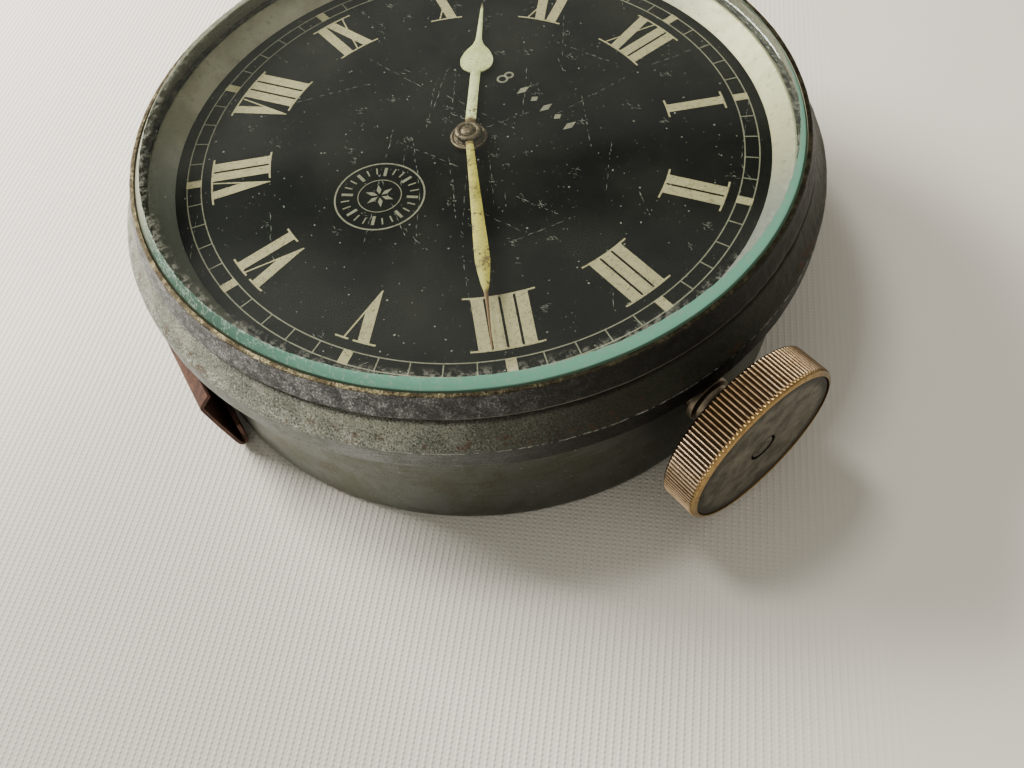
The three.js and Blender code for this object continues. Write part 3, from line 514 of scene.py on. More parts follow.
def glass_paint():
    """Clear glass with dust and fine scratches: a reflection over plain transparency."""
    p = Paint("clear_glass")
    clear = p.node("ShaderNodeBsdfTransparent", {"Color": (0.94, 0.965, 0.95, 1)})
    wave = p.bump(p.noise(0.05, 2, 0.5), 0.01)
    mirror = {"Color": (0.95, 0.98, 0.97, 1), "Roughness": 0.04, "Normal": wave}
    gloss = p.node("ShaderNodeBsdfGlossy", mirror)
    facing = p.node("ShaderNodeLayerWeight", {}, "Facing")
    pane = p.blend(p.span(facing.math("POWER", 4.0), 0.036, 0.75), clear, gloss)
    dust = p.specks(0.85, 0.045)
    fine_dust = p.specks(1.5, 0.07) * p.band(p.noise(0.12, 3), 0.48, 0.6)
    edge = p.band(p.radius, GLASS_FLAT_RADIUS - 1.3, GLASS_FLAT_RADIUS)
    edge_grime = edge * p.band(p.noise(1.4, 4, 0.7), 0.45, 0.65)
    film = p.band(p.noise(0.09, 4, 0.6), 0.35, 0.75) * 0.012
    dusty = (dust * 0.6).math("MAXIMUM", fine_dust * 0.35)
    soil = dusty.math("MAXIMUM", (edge_grime * 0.28).math("MAXIMUM", film))
    p.color = tone(176, 178, 160)
    return p.done(p.blend(soil, pane, p.surface(0.8)))


def bevel_paint():
    """The glass's ground bevel: matte sea green, with mint light painted where light gathers in its
    right-hand edge and pale light painted on the side toward the window.
    """
    p = Paint("ground_bevel")
    # Painted light: mint toward +X, where light gathers in the right-hand edge.
    painted_light = p.band(p.x, 4.0, 33.0)
    p.base(p.noise(0.3, 4, 0.6), (54, 86, 71), (76, 110, 94))
    streaks = p.noise(1.0, 5, 0.7, at=p.around(5.0))
    p.coat(p.band(streaks, 0.5, 0.66) * 0.45, (112, 144, 128))
    p.coat(painted_light, (140, 214, 187))
    p.coat(p.cracks(0.8, 0.02) * 0.5, (186, 206, 190))
    # Painted light: paler toward the window side, where light comes through the glass; the grime is
    # thinner there.
    far = p.band(p.x * 0.8 + p.y * 0.6, -24.0, -30.0)
    p.coat(far, (158, 160, 138))
    border = p.band(p.z, GLASS_TOP - 0.25, GLASS_TOP - 0.05)
    chips = p.band(p.noise(2.6, 4, 0.7), 0.5, 0.6) * border
    p.coat(chips * 0.7, (190, 204, 190))
    grime = p.band(p.z + p.span(streaks, -0.12, 0.12), LIP_TOP + 0.1, LIP_TOP - 0.04)
    grime = grime * p.span(far, 0.85, 0.2)
    p.coat(grime, (52, 46, 30))
    ground = p.surface(0.42, p.bump(streaks, 0.02), specular=0.35)
    glow = p.node("ShaderNodeBsdfTranslucent", {"Color": p.color})
    return p.done(p.blend(0.25, ground, glow))


def rehaut_paint():
    p = Paint("tarnished_silver")
    stain = p.band(p.noise(0.2, 5, 0.6), 0.36, 0.64)
    p.base(stain, (186, 177, 155), (160, 152, 129))
    cream = p.band(p.x + p.y, 26.0, 44.0)
    p.coat(cream * 0.8, (186, 178, 138))
    cool = p.band(p.x - p.y, -4.0, 16.0)
    p.coat(cool * 0.85, (136, 140, 137))
    tarnish = p.band(p.noise(0.9, 5, 0.7, at=p.shifted(4, 9, 1)), 0.54, 0.68)
    p.coat(tarnish * 0.45, (112, 110, 96))
    p.coat(p.specks(1.7, 0.1), (80, 72, 54))
    # Painted shade: darker at the front of the ring, toward -Y.
    low = p.band(p.x - p.y, 2.0, 36.0) * p.band(p.y, -12.0, -26.0)
    p.coat(low * 0.75, (66, 66, 52))
    rough = p.span(p.noise(0.8, 4), 0.4, 0.55)
    normal = p.bump(p.noise(1.8, 4, 0.65), 0.03)
    return p.done(p.surface(rough, normal, 0.4))


# ---- materials of the dial and hands

def dial_paint():
    p = Paint("black_dial")
    cloud = p.noise(0.12, 5, 0.6)
    p.base(cloud, (12, 13, 12), (20, 21, 18))
    rub = p.band(p.noise(1.0, 5, 0.75, at=p.stretched(3.0, 0.5, 1.0)), 0.64, 0.74)
    p.coat(rub * 0.3, (64, 66, 60))
    rough = p.span(cloud, 0.45, 0.6)
    return p.done(p.surface(rough, specular=0.06))


def print_paint(name, light, dark):
    """Aged printing ink with tiny dark pits."""
    p = Paint(name)
    p.base(p.noise(0.6, 4, 0.6), light, dark)
    pits = p.specks(1.9, 0.16).math("MAXIMUM", p.band(p.noise(3.2, 4, 0.75), 0.59, 0.66))
    p.coat(pits * 0.75, (72, 62, 40))
    p.coat(p.cracks(0.9, 0.012) * 0.6, (66, 58, 40))
    return p.done(p.surface(0.7, p.bump(p.noise(5.0, 3), 0.012), specular=0.2))


def luminous_paint(name, light, dark, root, tip, soiled):
    """Luminous compound from root to tip along a hand, soiled so far out, and bare metal beyond."""
    p = Paint(name)
    p.base(p.band(p.noise(0.35, 4, 0.6), 0.4, 0.65), light, dark)
    p.coat(p.band(p.noise(3.0, 4, 0.7), 0.56, 0.66), (150, 138, 84))
    wear = p.span(p.band(p.radius, soiled, soiled - 3.0), 0.12, 1.0)
    broken = p.band(p.noise(0.6, 3, 0.6, at=p.shifted(5, 1, 9)), 0.45, 0.58) * wear
    p.coat(p.cracks(1.3, 0.05) * broken, (104, 84, 46))
    p.coat(p.specks(2.4, 0.22) * (wear * 0.7), (120, 98, 56))
    p.coat(p.specks(1.1, 0.18) * wear, (84, 62, 30))
    ragged = p.radius + p.span(p.noise(1.6, 3), -0.8, 0.8)
    before_root = p.band(ragged, root + 0.25, root - 0.25)
    bare = before_root.math("MAXIMUM", p.band(ragged, tip - 0.4, tip + 0.4))
    p.coat(bare, (108, 84, 58))
    normal = p.bump(p.noise(2.5, 4, 0.7), 0.035)
    return p.done(p.surface(0.55, normal, bare * 0.7))


def bronze_paint():
    p = Paint("aged_bronze")
    p.base(p.noise(0.9, 4, 0.6), (128, 112, 90), (80, 67, 50))
    p.coat(p.specks(2.6, 0.2), (170, 156, 130))
    p.coat(p.band(p.noise(3.0, 4, 0.7), 0.52, 0.62), (40, 32, 22))
    normal = p.bump(p.noise(3.0, 4, 0.7), 0.03)
    return p.done(p.surface(0.5, normal, 0.7))


# ---- materials of the other metal parts

def rust_paint():
    p = Paint("rusty_spring")
    p.base(p.band(p.noise(0.4, 5, 0.65), 0.38, 0.62), (94, 60, 44), (56, 31, 21))
    p.coat(p.band(p.noise(1.9, 4, 0.75), 0.57, 0.68), (46, 26, 18))
    p.coat(p.specks(1.2, 0.1), (126, 88, 66))
    normal = p.bump(p.noise(2.4, 5, 0.75), 0.07)
    return p.done(p.surface(p.span(p.noise(1.1, 3), 0.5, 0.8), normal, 0.25))


def stem_reach(p):
    """The distance from the winding stem's axis."""
    lift = p.z - STEM_HEIGHT
    return (p.y * p.y + lift * lift).math("SQRT")


def knob_brass_paint():
    """Worn gilding: golden chamfer and ridge tops, with painted shade: dark brown in the grooves and
    toward +Y.
    """
    p = Paint("knurled_brass")
    reach = stem_reach(p)
    gold = p.mix(p.noise(0.5, 4, 0.6), (178, 148, 97), (138, 113, 70))
    rosy = p.mix(p.band(p.noise(0.16, 4, 0.6), 0.4, 0.6), (226, 200, 165), (204, 176, 138))
    front = p.band(p.x, KNOB_FRONT - 0.6, KNOB_FRONT - 0.4)
    p.base(front, rosy, gold)
    # Painted shade: dark brown in the grooves between the ridges.
    deep = p.band(reach, KNOB_RADIUS - 0.01, KNOB_RADIUS - 0.12)
    groove = deep * p.band(p.x, KNOB_FRONT - 0.36, KNOB_FRONT - 0.52)
    p.coat(groove * 0.94, (54, 41, 28))
    # Painted shade: darker toward +Y, the end away from the window.
    p.coat(p.band(p.y, 3.5, 9.0) * 0.62, (58, 44, 28))
    stain = p.band(p.noise(1.3, 5, 0.7), 0.52, 0.64)
    p.coat(stain * 0.45, (92, 64, 34))
    rough = p.span(p.noise(1.0, 4), 0.26, 0.44)
    normal = p.bump(p.noise(3.0, 4, 0.7), 0.02)
    return p.done(p.surface(rough, normal, 0.95))


def dull_disc_paint():
    p = Paint("dull_disc")
    reach = stem_reach(p)
    scratch = p.band(p.noise(1.0, 5, 0.75, at=p.stretched(1.0, 0.9, 4.0), distortion=0.6), 0.56, 0.68)
    p.base(p.band(p.noise(0.4, 5, 0.65), 0.38, 0.62), (108, 104, 90), (64, 61, 49))
    p.coat(scratch * 0.5, (168, 162, 146))
    p.coat(p.band(p.noise(2.2, 4, 0.7), 0.6, 0.72), (56, 50, 36))
    # Painted shade: a dark ring round the edge of the disc, inside the brass lip.
    painted_rim_shade = p.band(reach, KNOB_FACE_RADIUS - 1.5, KNOB_FACE_RADIUS - 0.3)
    p.coat(painted_rim_shade * 0.9, (30, 27, 18))
    p.coat(p.between(reach, 1.3, 1.66, 0.06), (10, 9, 7))
    p.coat(p.between(reach, 0.6, 0.85, 0.12) * 0.6, (36, 32, 24))
    normal = p.bump(p.noise(1.4, 5, 0.7), 0.05)
    return p.done(p.surface(p.span(p.noise(0.9, 4), 0.4, 0.65), normal, 0.6))


def plain_metal_paint(name, light, dark, roughness, brushed):
    """Machined metal: a soft change of tone, brushing along X, and fine tool marks."""
    p = Paint(name)
    p.base(p.noise(0.35, 4, 0.6), light, dark)
    grain = p.noise(1.0, 4, 0.7, at=p.stretched(0.4, brushed, brushed))
    rough = p.span(grain, roughness - 0.07, roughness + 0.1)
    p.coat(p.band(p.noise(1.4, 5, 0.7), 0.62, 0.72), dark)
    return p.done(p.surface(rough, p.bump(grain, 0.008), 1.0))


def rubber_paint():
    p = Paint("black_rubber")
    p.base(p.noise(1.2, 4), (24, 24, 23), (38, 37, 34))
    return p.done(p.surface(0.8, p.bump(p.noise(4.0, 3), 0.02)))


def cloth_paint():
    """Plain pale cloth with a fine rib for the floor, and a painted soft shadow toward -Y, in front of
    the clock.
    """
    p = Paint("pale_cloth")
    across = p.x * 0.731 + p.y * 0.682
    ribs = (across * (TAU / 0.72)).math("SINE")
    along = p.x * 0.682 - p.y * 0.731
    threads = (along * (TAU / 0.5)).math("SINE")
    relief = (ribs * 0.5 + threads * 0.22) * p.band(p.x + p.y, 74.0, 30.0)
    shade = p.span(relief, 0.35, 0.65) * 0.6 + p.noise(0.02, 4) * 0.4
    p.base(shade, (212, 206, 194), (248, 244, 234))
    # Painted shadow: a soft darker patch on the floor about (18, -62).
    away = p.shifted(-18.0, 62.0, 0.0)
    near = p.node("ShaderNodeVectorMath", {0: away}, "Value", operation="LENGTH")
    p.coat(p.band(near, 56.0, 8.0) * 0.45, (134, 132, 126))
    return p.done(p.surface(0.85, p.bump(p.span(relief, 0.0, 1.0), 0.11)))


# ---- case, bezel and glass

def dented(depth, grain, fine_depth=0.0, fine_grain=1.0):
    """A shape change that makes a turned surface slightly uneven."""
    def shape(p):
        out = Vector((p.x, p.y, 0)).normalized()
        push = depth * noise.noise(p * grain)
        push += fine_depth * noise.noise(p * fine_grain + Vector((7, 3, 1)))
        return p + out * push
    return shape


def case_shell(paint):
    inner = CASE_RADIUS - CASE_WALL
    outline = rounded([
        (inner, 0.0, 0.25), (CASE_RADIUS - 0.05, 0.0, 1.1), (CASE_RADIUS - 0.05, CASE_TOP, 0.2),
        (inner, CASE_TOP), (inner, 15.7), (33.9, 15.7), (33.9, 14.9), (inner, 14.9),
        (inner, 2.7), (30.4, 2.7), (30.4, 1.5), (inner, 1.5),
    ])
    stem_hole = along_x(lathe([(0, 30), (2.0, 30), (2.0, 40), (0, 40)], 64))
    threads = [
        turned_to(lathe([(0, 1), (0.75, 1), (0.75, 4), (0, 4)], 24), azimuth, COVER_SCREW_CIRCLE)
        for azimuth in COVER_SCREW_AZIMUTHS
    ]
    shell = lathe(dense(outline, 1.2), shape=dented(0.035, 0.16, 0.012, 0.8))
    piece("case_shell", [shell], paint, ["case_body"], holes=[stem_hole] + threads)


def back_plate(paint):
    """The back cover: a turned disc with a shallow pressed ring and three counterbores."""
    ring_inner, ring_outer, ring_depth = 24.0, 25.2, 0.25
    outline = rounded([
        (0, 0), (ring_inner, 0, 0.2), (ring_inner + 0.3, ring_depth, 0.2),
        (ring_outer - 0.3, ring_depth, 0.2), (ring_outer, 0, 0.2), (COVER_RADIUS, 0, 0.5),
        (COVER_RADIUS, COVER_TOP), (0, COVER_TOP),
    ])
    sink = lathe([(0, -1), (1.7, -1), (1.7, 0.75), (0.8, 0.75), (0.8, 2), (0, 2)], 64)
    sinks = [turned_to(sink, azimuth, COVER_SCREW_CIRCLE) for azimuth in COVER_SCREW_AZIMUTHS]
    piece("back_plate", [lathe(outline)], paint, ["back_cover"], holes=sinks)


def cover_screws(paint):
    outline = rounded([
        (0, 0.2), (1.4, 0.2, 0.15), (1.4, 0.65), (0.6, 0.7), (0.6, 2.6), (0, 2.6),
    ])
    slot = prism([(-2, -0.16), (2, -0.16), (2, 0.16), (-2, 0.16)], 0.0, 0.45)
    for i, azimuth in enumerate(COVER_SCREW_AZIMUTHS):
        place = polar(COVER_SCREW_CIRCLE, azimuth).to_3d()
        twist = Matrix.Rotation(math.radians(25 + 70 * i), 3, "Z")
        screw = moved(lathe(outline, 64), lambda p: p + place)
        notch = moved(slot, lambda p: twist @ p + place)
        piece(f"cover_screw_{i + 1}", [screw], paint, [f"back_cover_screw_{i + 1}"],
              holes=[notch])


def bezel_ring(paint):
    bore = 35.2
    lip_inner = GLASS_RADIUS - 0.02
    well = GLASS_RADIUS + 0.15
    outline = rounded([
        (CASE_RADIUS + 0.12, FLANGE_UNDER, 0.1), (FLANGE_RADIUS, FLANGE_UNDER, 0.3),
        (FLANGE_RADIUS, FLANGE_EDGE, 0.22), (38.15, 19.55, 0.5), (37.6, 20.4, 0.4),
        (37.15, GROOVE_FOOT, 0.15), (36.82, 21.5, 0.08), (36.82, 21.68, 0.08),
        (37.05, GROOVE_TOP, 0.15), (36.92, 22.4, 0.2), (36.4, 23.6, 0.3), (36.3, 24.1, 0.1),
        (36.15, LIP_TOP, 0.08), (lip_inner, LIP_TOP, 0.03), (lip_inner, LIP_TOP - 0.2),
        (well, BEVEL_FOOT), (well, 22.2), (bore, 22.2),
        (bore, CASE_TOP + 0.2), (CASE_RADIUS + 0.12, CASE_TOP + 0.2),
    ], steps=4)
    hammered = dented(0.05, 0.35, 0.035, 1.1)
    outside = CASE_RADIUS - 0.3

    def shape(p):
        return hammered(p) if p.xy.length > outside and p.z > FLANGE_UNDER + 0.2 else p

    ring = lathe(dense(outline, 0.45), 900, shape)
    piece("bezel_ring", [ring], paint, ["bezel"])


def glass_plate(clear, ground):
    """The flat glass with its ground bevel. The border between them is chipped."""
    flat_end = GLASS_FLAT_RADIUS
    outline = [
        (0, GLASS_UNDER), (20, GLASS_UNDER), (flat_end - 0.3, GLASS_UNDER),
        (GLASS_RADIUS - 0.1, GLASS_UNDER), (GLASS_RADIUS, GLASS_UNDER + 0.1),
        (GLASS_RADIUS, BEVEL_FOOT), (GLASS_RADIUS - 0.04, BEVEL_FOOT + 0.08),
        (GLASS_RADIUS - 0.3, GLASS_TOP - 0.94), (GLASS_RADIUS - 0.6, GLASS_TOP - 0.48),
        (flat_end + 0.05, GLASS_TOP - 0.06), (flat_end - 0.02, GLASS_TOP), (20, GLASS_TOP),
        (0, GLASS_TOP),
    ]

    def shape(p):
        if p.z > GLASS_TOP - 0.1 and p.xy.length > flat_end - 0.5:
            chip = 0.06 * noise.noise(p * 0.9) + 0.05 * noise.noise(p * 3.1)
            return p - Vector((p.x, p.y, 0)).normalized() * (0.07 + chip)
        return p

    plate = lathe(outline, 720, shape)
    thing = piece("glass_plate", [plate], clear, ["glass"])
    thing.data.materials.append(ground)
    for face in thing.data.polygons:
        middle = face.center / MM
        on_bevel = middle.xy.length > flat_end - 0.12 and middle.z > BEVEL_FOOT
        face.material_index = 1 if on_bevel else 0


def rehaut(paint):
    outline = rounded([
        (DIAL_OPENING, DIAL_FACE + 0.1, 0.05), (35.0, DIAL_FACE + 0.1), (35.0, REHAUT_TOP),
        (34.8, REHAUT_TOP, 0.08),
    ])
    ring = lathe(dense(outline, 0.5), shape=dented(0.02, 0.5))
    piece("rehaut", [ring], paint, ["rehaut_ring"])


# ---- dial

# Places across each numeral: bars, a V or X, and the serifs' ends on the outer and inner circle.
NUMERALS = {n: {"bars": [BAR_PITCH * (k - (n - 1) / 2) for k in range(n)]} for n in range(1, 5)}
NUMERALS |= {
    5: {"vee": (-1.5, 0.0, 1.21), "outer": [(-2.2, 0.2), (0.7, 2.15)], "inner": []},
    6: {"vee": (-2.32, -0.97, 0.41), "bars": [1.43],
        "outer": [(-2.9, -0.7), (-0.04, 2.72)], "inner": [(0.3, 2.56)]},
    7: {"vee": (-2.82, -1.4, -0.32), "bars": [0.6, 2.1],
        "outer": [(-3.59, 3.44)], "inner": [(-0.81, 3.28)]},
    8: {"vee": (-3.74, -2.17, -1.25), "bars": [-0.2, 1.3, 2.8],
        "outer": [(-4.26, 3.88)], "inner": [(-1.53, 3.9)]},
    9: {"bars": [-1.48], "ex": 0.65, "outer": [(-2.7, 2.7)]},
    10: {"ex": 0.0, "outer": [(-1.95, 1.95)]},
    11: {"bars": [1.48], "ex": -0.65, "outer": [(-2.7, 2.7)]},
    12: {"bars": [0.7, 2.2], "ex": -1.52, "outer": [(-3.3, 3.45)]},
}


def arc_height(radius, across):
    return math.sqrt(radius ** 2 - across ** 2)


def serif(radius, start, end):
    """A thin line that follows a circle about the dial's centre."""
    steps = 12
    places = [start + (end - start) * k / steps for k in range(steps + 1)]
    upper = [(u, arc_height(radius + SERIF / 2, u)) for u in places]
    return upper + [(u, arc_height(radius - SERIF / 2, u)) for u in places[::-1]]


def bar(middle):
    """An upright bar whose ends flare into its serifs."""
    flare, reach, half = 0.13, 0.3, BAR_WIDTH / 2
    side = [(half + flare * (1 - t) ** 2, reach * t) for t in (0.0, 0.25, 0.5, 0.75, 1.0)]
    left = [(middle - w, arc_height(NUMERAL_INNER, middle - w) + up) for w, up in side]
    left += [(middle - w, arc_height(NUMERAL_OUTER, middle - w) - up) for w, up in side[::-1]]
    right = [(middle + w, arc_height(NUMERAL_OUTER, middle + w) - up) for w, up in side]
    right += [(middle + w, arc_height(NUMERAL_INNER, middle + w) + up) for w, up in side[::-1]]
    return left + right


def slanted(outer_middle, inner_middle, width):
    """A straight stroke between the two serif circles."""
    half = width / 2
    return [
        (u, arc_height(radius, u)) for radius, u in (
            (NUMERAL_OUTER, outer_middle - half), (NUMERAL_OUTER, outer_middle + half),
            (NUMERAL_INNER, inner_middle + half), (NUMERAL_INNER, inner_middle - half),
        )
    ]


def vee_strokes(thick_left, tip, thin):
    """A V: a thick stroke cut off by the thin one, which it meets at the tip."""
    top = arc_height(NUMERAL_OUTER, thick_left)
    foot = arc_height(NUMERAL_INNER, tip)
    slope = (tip - thick_left) / (top - foot)
    thin_slope = (tip - thin) / (top - foot)
    drop = (thin - HAIRLINE / 2 - thick_left - VEE_WIDTH) / (slope - thin_slope)
    meeting = (thick_left + VEE_WIDTH + slope * drop, top - drop)
    thick = [(thick_left, top), (thick_left + VEE_WIDTH, top), meeting, (tip, foot - 0.05)]
    half = HAIRLINE / 2
    hairline = [(thin - half, top), (thin + half, top), (tip + half, foot), (tip - half, foot)]
    return [thick, hairline]


def numeral_strokes(bars=(), vee=None, ex=None, outer=None, inner=None):
    """The outlines of one numeral, across and out from the dial's centre."""
    if outer is None:
        reach = bars[-1] + BAR_WIDTH / 2 + SERIF_OVERHANG
        outer = [(-reach, reach)]
    if inner is None:
        inner = outer
    strokes = [bar(middle) for middle in bars]
    if vee:
        strokes += vee_strokes(*vee)
    if ex is not None:
        strokes.append(slanted(ex - 0.8, ex + 0.7, VEE_WIDTH))
        strokes.append(slanted(ex + 0.95, ex - 0.85, HAIRLINE))
    strokes += [serif(NUMERAL_OUTER, *ends) for ends in outer]
    strokes += [serif(NUMERAL_INNER, *ends) for ends in inner]
    return strokes


def ink_top(layer):
    """Strokes that cross lie at slightly different heights."""
    return DIAL_FACE + PRINT_HEIGHT - 0.002 * layer


def printed(outline, layer=0):
    return prism(outline, INK_FOOT, ink_top(layer))


def numerals(paint):
    for hour, parts in NUMERALS.items():
        outward = polar(1, 90 - 30 * hour)
        clockwise = Vector((outward.y, -outward.x))
        solids = []
        for layer, stroke in enumerate(numeral_strokes(**parts)):
            solids.append(printed([clockwise * u + outward * v for u, v in stroke], layer))
        piece(f"numeral_{hour}", solids, paint, sharp=30)


def printed_ring(radius, width, centre=(0, 0), segments=SEGMENTS, layer=0):
    inner, outer, top = radius - width / 2, radius + width / 2, ink_top(layer)
    ring = lathe([(inner, INK_FOOT), (outer, INK_FOOT), (outer, top), (inner, top)], segments)
    return moved(ring, lambda p: p + Vector((*centre, 0)))


def block(azimuth, inner, outer, width, layer=0, centre=(0, 0)):
    """A printed line along a radius."""
    out = polar(1, azimuth)
    side = Vector((-out.y, out.x)) * (width / 2)
    corners = [out * inner - side, out * outer - side, out * outer + side, out * inner + side]
    return printed([c + Vector(centre) for c in corners], layer)


def minute_track(line_paint, block_paint):
    rings = [printed_ring(TRACK_INNER, TRACK_LINE), printed_ring(TRACK_OUTER, TRACK_LINE)]
    ticks = [
        block(6 * minute, TRACK_INNER, TRACK_OUTER, TRACK_LINE, 2)
        for minute in range(60) if minute % 5
    ]
    piece("minute_track", rings + ticks, line_paint)
    blocks = [
        block(30 * hour, TRACK_INNER - 0.04, TRACK_OUTER + 0.08, BLOCK_WIDTH, -2)
        for hour in range(12)
    ]
    piece("five_minute_blocks", blocks, block_paint)


def day_mark(paint):
    """The running time: a figure eight made of two rings, and five plain lozenges in a row."""
    row = 9.65
    eight = [
        printed_ring(0.46, 0.24, (-5.6, row + 0.48), 48, 1),
        printed_ring(0.56, 0.24, (-5.6, row - 0.5), 48, 2),
    ]
    lozenges = []
    for k in range(5):
        middle = -2.4 + 2.05 * k
        half_width, half_height = 0.42, 0.95 if k % 2 == 0 else 0.55
        corners = [(-half_width, 0), (0, -half_height), (half_width, 0), (0, half_height)]
        lozenges.append(printed([(middle + u, row + v) for u, v in corners]))
    piece("day_mark", eight + lozenges, paint)


def roundel(paint):
    """A plain ornament below the centre: a ring, a circle of short strokes and a small rosette."""
    centre = (0.15, -12.3)
    solids = [printed_ring(4.85, 0.18, centre, 128), printed_ring(2.35, 0.1, centre, 96)]
    for k in range(24):
        long = k % 3 == 0
        solids.append(block(15 * k, 2.95 if long else 3.3, 4.2, 0.34 if long else 0.16, 1, centre))
    for k in range(6):
        out = polar(1, 30 + 60 * k)
        side = Vector((-out.y, out.x))
        petal = [out * 0.25, out * 0.85 + side * 0.26, out * 1.65, out * 0.85 - side * 0.26]
        solids.append(printed([p + Vector(centre) for p in petal]))
    piece("roundel", solids, paint)


def dial_plate(paint):
    outline = rounded([
        (1.9, DIAL_UNDER), (DIAL_RADIUS, DIAL_UNDER), (DIAL_RADIUS, DIAL_FACE), (1.9, DIAL_FACE, 0.1),
    ])
    piece("dial_plate", [lathe(outline)], paint, ["dial"])


def dial_wear(paint):
    """Broken scratches, small scuffs, chips and dust on the dial."""
    draw = random.Random(8)
    clear, reach = 2.6, DIAL_OPENING * 0.98
    solids = []

    def spot():
        """A random place on the dial, clear of the centre."""
        return polar(draw.uniform(clear, reach), draw.uniform(0, 360))

    def stroke(place, heading, length, width):
        side = Vector((-heading.y, heading.x)) * width / 2
        middle = place + side * draw.uniform(-4, 4)
        ends = (place - heading * length / 2, place + heading * length / 2)
        corners = [ends[0], middle - side, ends[1], middle + side]
        if all(2.3 < c.length < DIAL_OPENING for c in corners):
            solids.append(prism(corners, INK_FOOT, DIAL_FACE + 0.012))

    for _ in range(46):
        place = spot()
        heading = polar(1, draw.choice((-40, -25, 10, 75, 140)) + draw.uniform(-12, 12))
        for _ in range(draw.randint(3, 9)):
            length = draw.uniform(0.15, 1.3)
            stroke(place, heading, length, draw.uniform(0.025, 0.075))
            place = place + heading * (length + draw.uniform(0.1, 0.6))
    for _ in range(60):
        place = spot()
        for _ in range(draw.randint(4, 12)):
            near = place + polar(0.7 * draw.random(), draw.uniform(0, 360))
            heading = polar(1, draw.uniform(-30, 60))
            stroke(near, heading, draw.uniform(0.1, 0.7), draw.uniform(0.02, 0.06))
    for _ in range(900):
        place = polar(DIAL_OPENING * math.sqrt(draw.random()) * 0.98, draw.uniform(0, 360))
        if place.length < clear:
            continue
        size = 0.02 + 0.11 * draw.random() ** 3
        corners = [place + polar(size * draw.uniform(0.6, 1.3), 72 * k) for k in range(5)]
        solids.append(prism(corners, INK_FOOT, DIAL_FACE + 0.02))
    piece("dial_wear", solids, paint)


# ---- hands

def blade(widths, bottom, crown):
    """A hand's blade along +X from (distance, half width) pairs, flat below and domed above."""
    stations = smooth_line(widths)
    edge = bottom + 0.13
    across = 8
    points, faces = [], []
    for out, half in stations:
        half = max(half, 0.03)
        points.append(Vector((out, -half, bottom)))
        for k in range(across + 1):
            share = 2 * k / across - 1
            rise = crown * min(1.0, half / 0.6) * (1 - share ** 2)
            points.append(Vector((out, half * share, edge + rise)))
        points.append(Vector((out, half, bottom)))
    ring = across + 3
    for i in range(len(stations) - 1):
        for k in range(ring):
            j = (k + 1) % ring
            faces.append([i * ring + k, i * ring + j, (i + 1) * ring + j, (i + 1) * ring + k])
    last = (len(stations) - 1) * ring
    faces.append(list(range(ring))[::-1])
    faces.append([last + k for k in range(ring)])
    return points, faces


def hand(name, azimuth, widths, bottom, crown, boss, lume, bronze):
    solid = turned_to(blade(widths, bottom, crown), azimuth)
    piece(f"{name}_blade", [solid], lume, [name], name, sharp=60)
    piece(f"{name}_boss", [lathe(rounded(boss), 128)], bronze, body=name)


def hour_hand(lume, bronze):
    widths = [
        (1.3, 0.6), (10.4, 0.57), (10.9, 0.75), (11.4, 1.4), (12.1, 1.82), (13.1, 1.94),
        (14.0, 1.72), (14.9, 1.32), (15.8, 0.72), (16.6, 0.45), (17.5, 0.34), (22.7, 0.16),
        (24.1, 0.05),
    ]
    boss = [
        (1.22, 20.78), (2.1, 20.78, 0.1), (2.1, 21.0, 0.12), (1.85, 21.1, 0.08), (1.72, 20.98, 0.06),
        (1.6, 21.0, 0.06), (1.5, 21.22, 0.1), (1.22, 21.25, 0.08),
    ]
    hand("hour_hand", HOUR_HAND_AZIMUTH, widths, 20.82, 0.13, boss, lume, bronze)


def minute_hand(lume, bronze):
    widths = [
        (1.2, 0.42), (3.0, 0.43), (10.0, 0.58), (17.5, 0.76), (19.3, 0.72), (21.5, 0.45),
        (23.4, 0.18), (29.6, 0.07),
    ]
    boss = [
        (0.88, 21.42), (1.45, 21.42, 0.08), (1.56, 21.55, 0.1), (1.5, 21.8, 0.12),
        (1.25, 21.95, 0.1), (1.0, 21.92, 0.08), (0.88, 21.8, 0.05),
    ]
    hand("minute_hand", MINUTE_HAND_AZIMUTH, widths, 21.47, 0.12, boss, lume, bronze)
    pin = rounded([(0, 21.6), (0.84, 21.6), (0.84, 21.84, 0.04), (0.56, 22.04, 0.06), (0, 22.15)])
    piece("hand_pin", [lathe(pin, 96)], bronze, body="minute_hand")


# ---- knob and stem

RIDGES = 120
RIDGE_DEPTH = 0.3


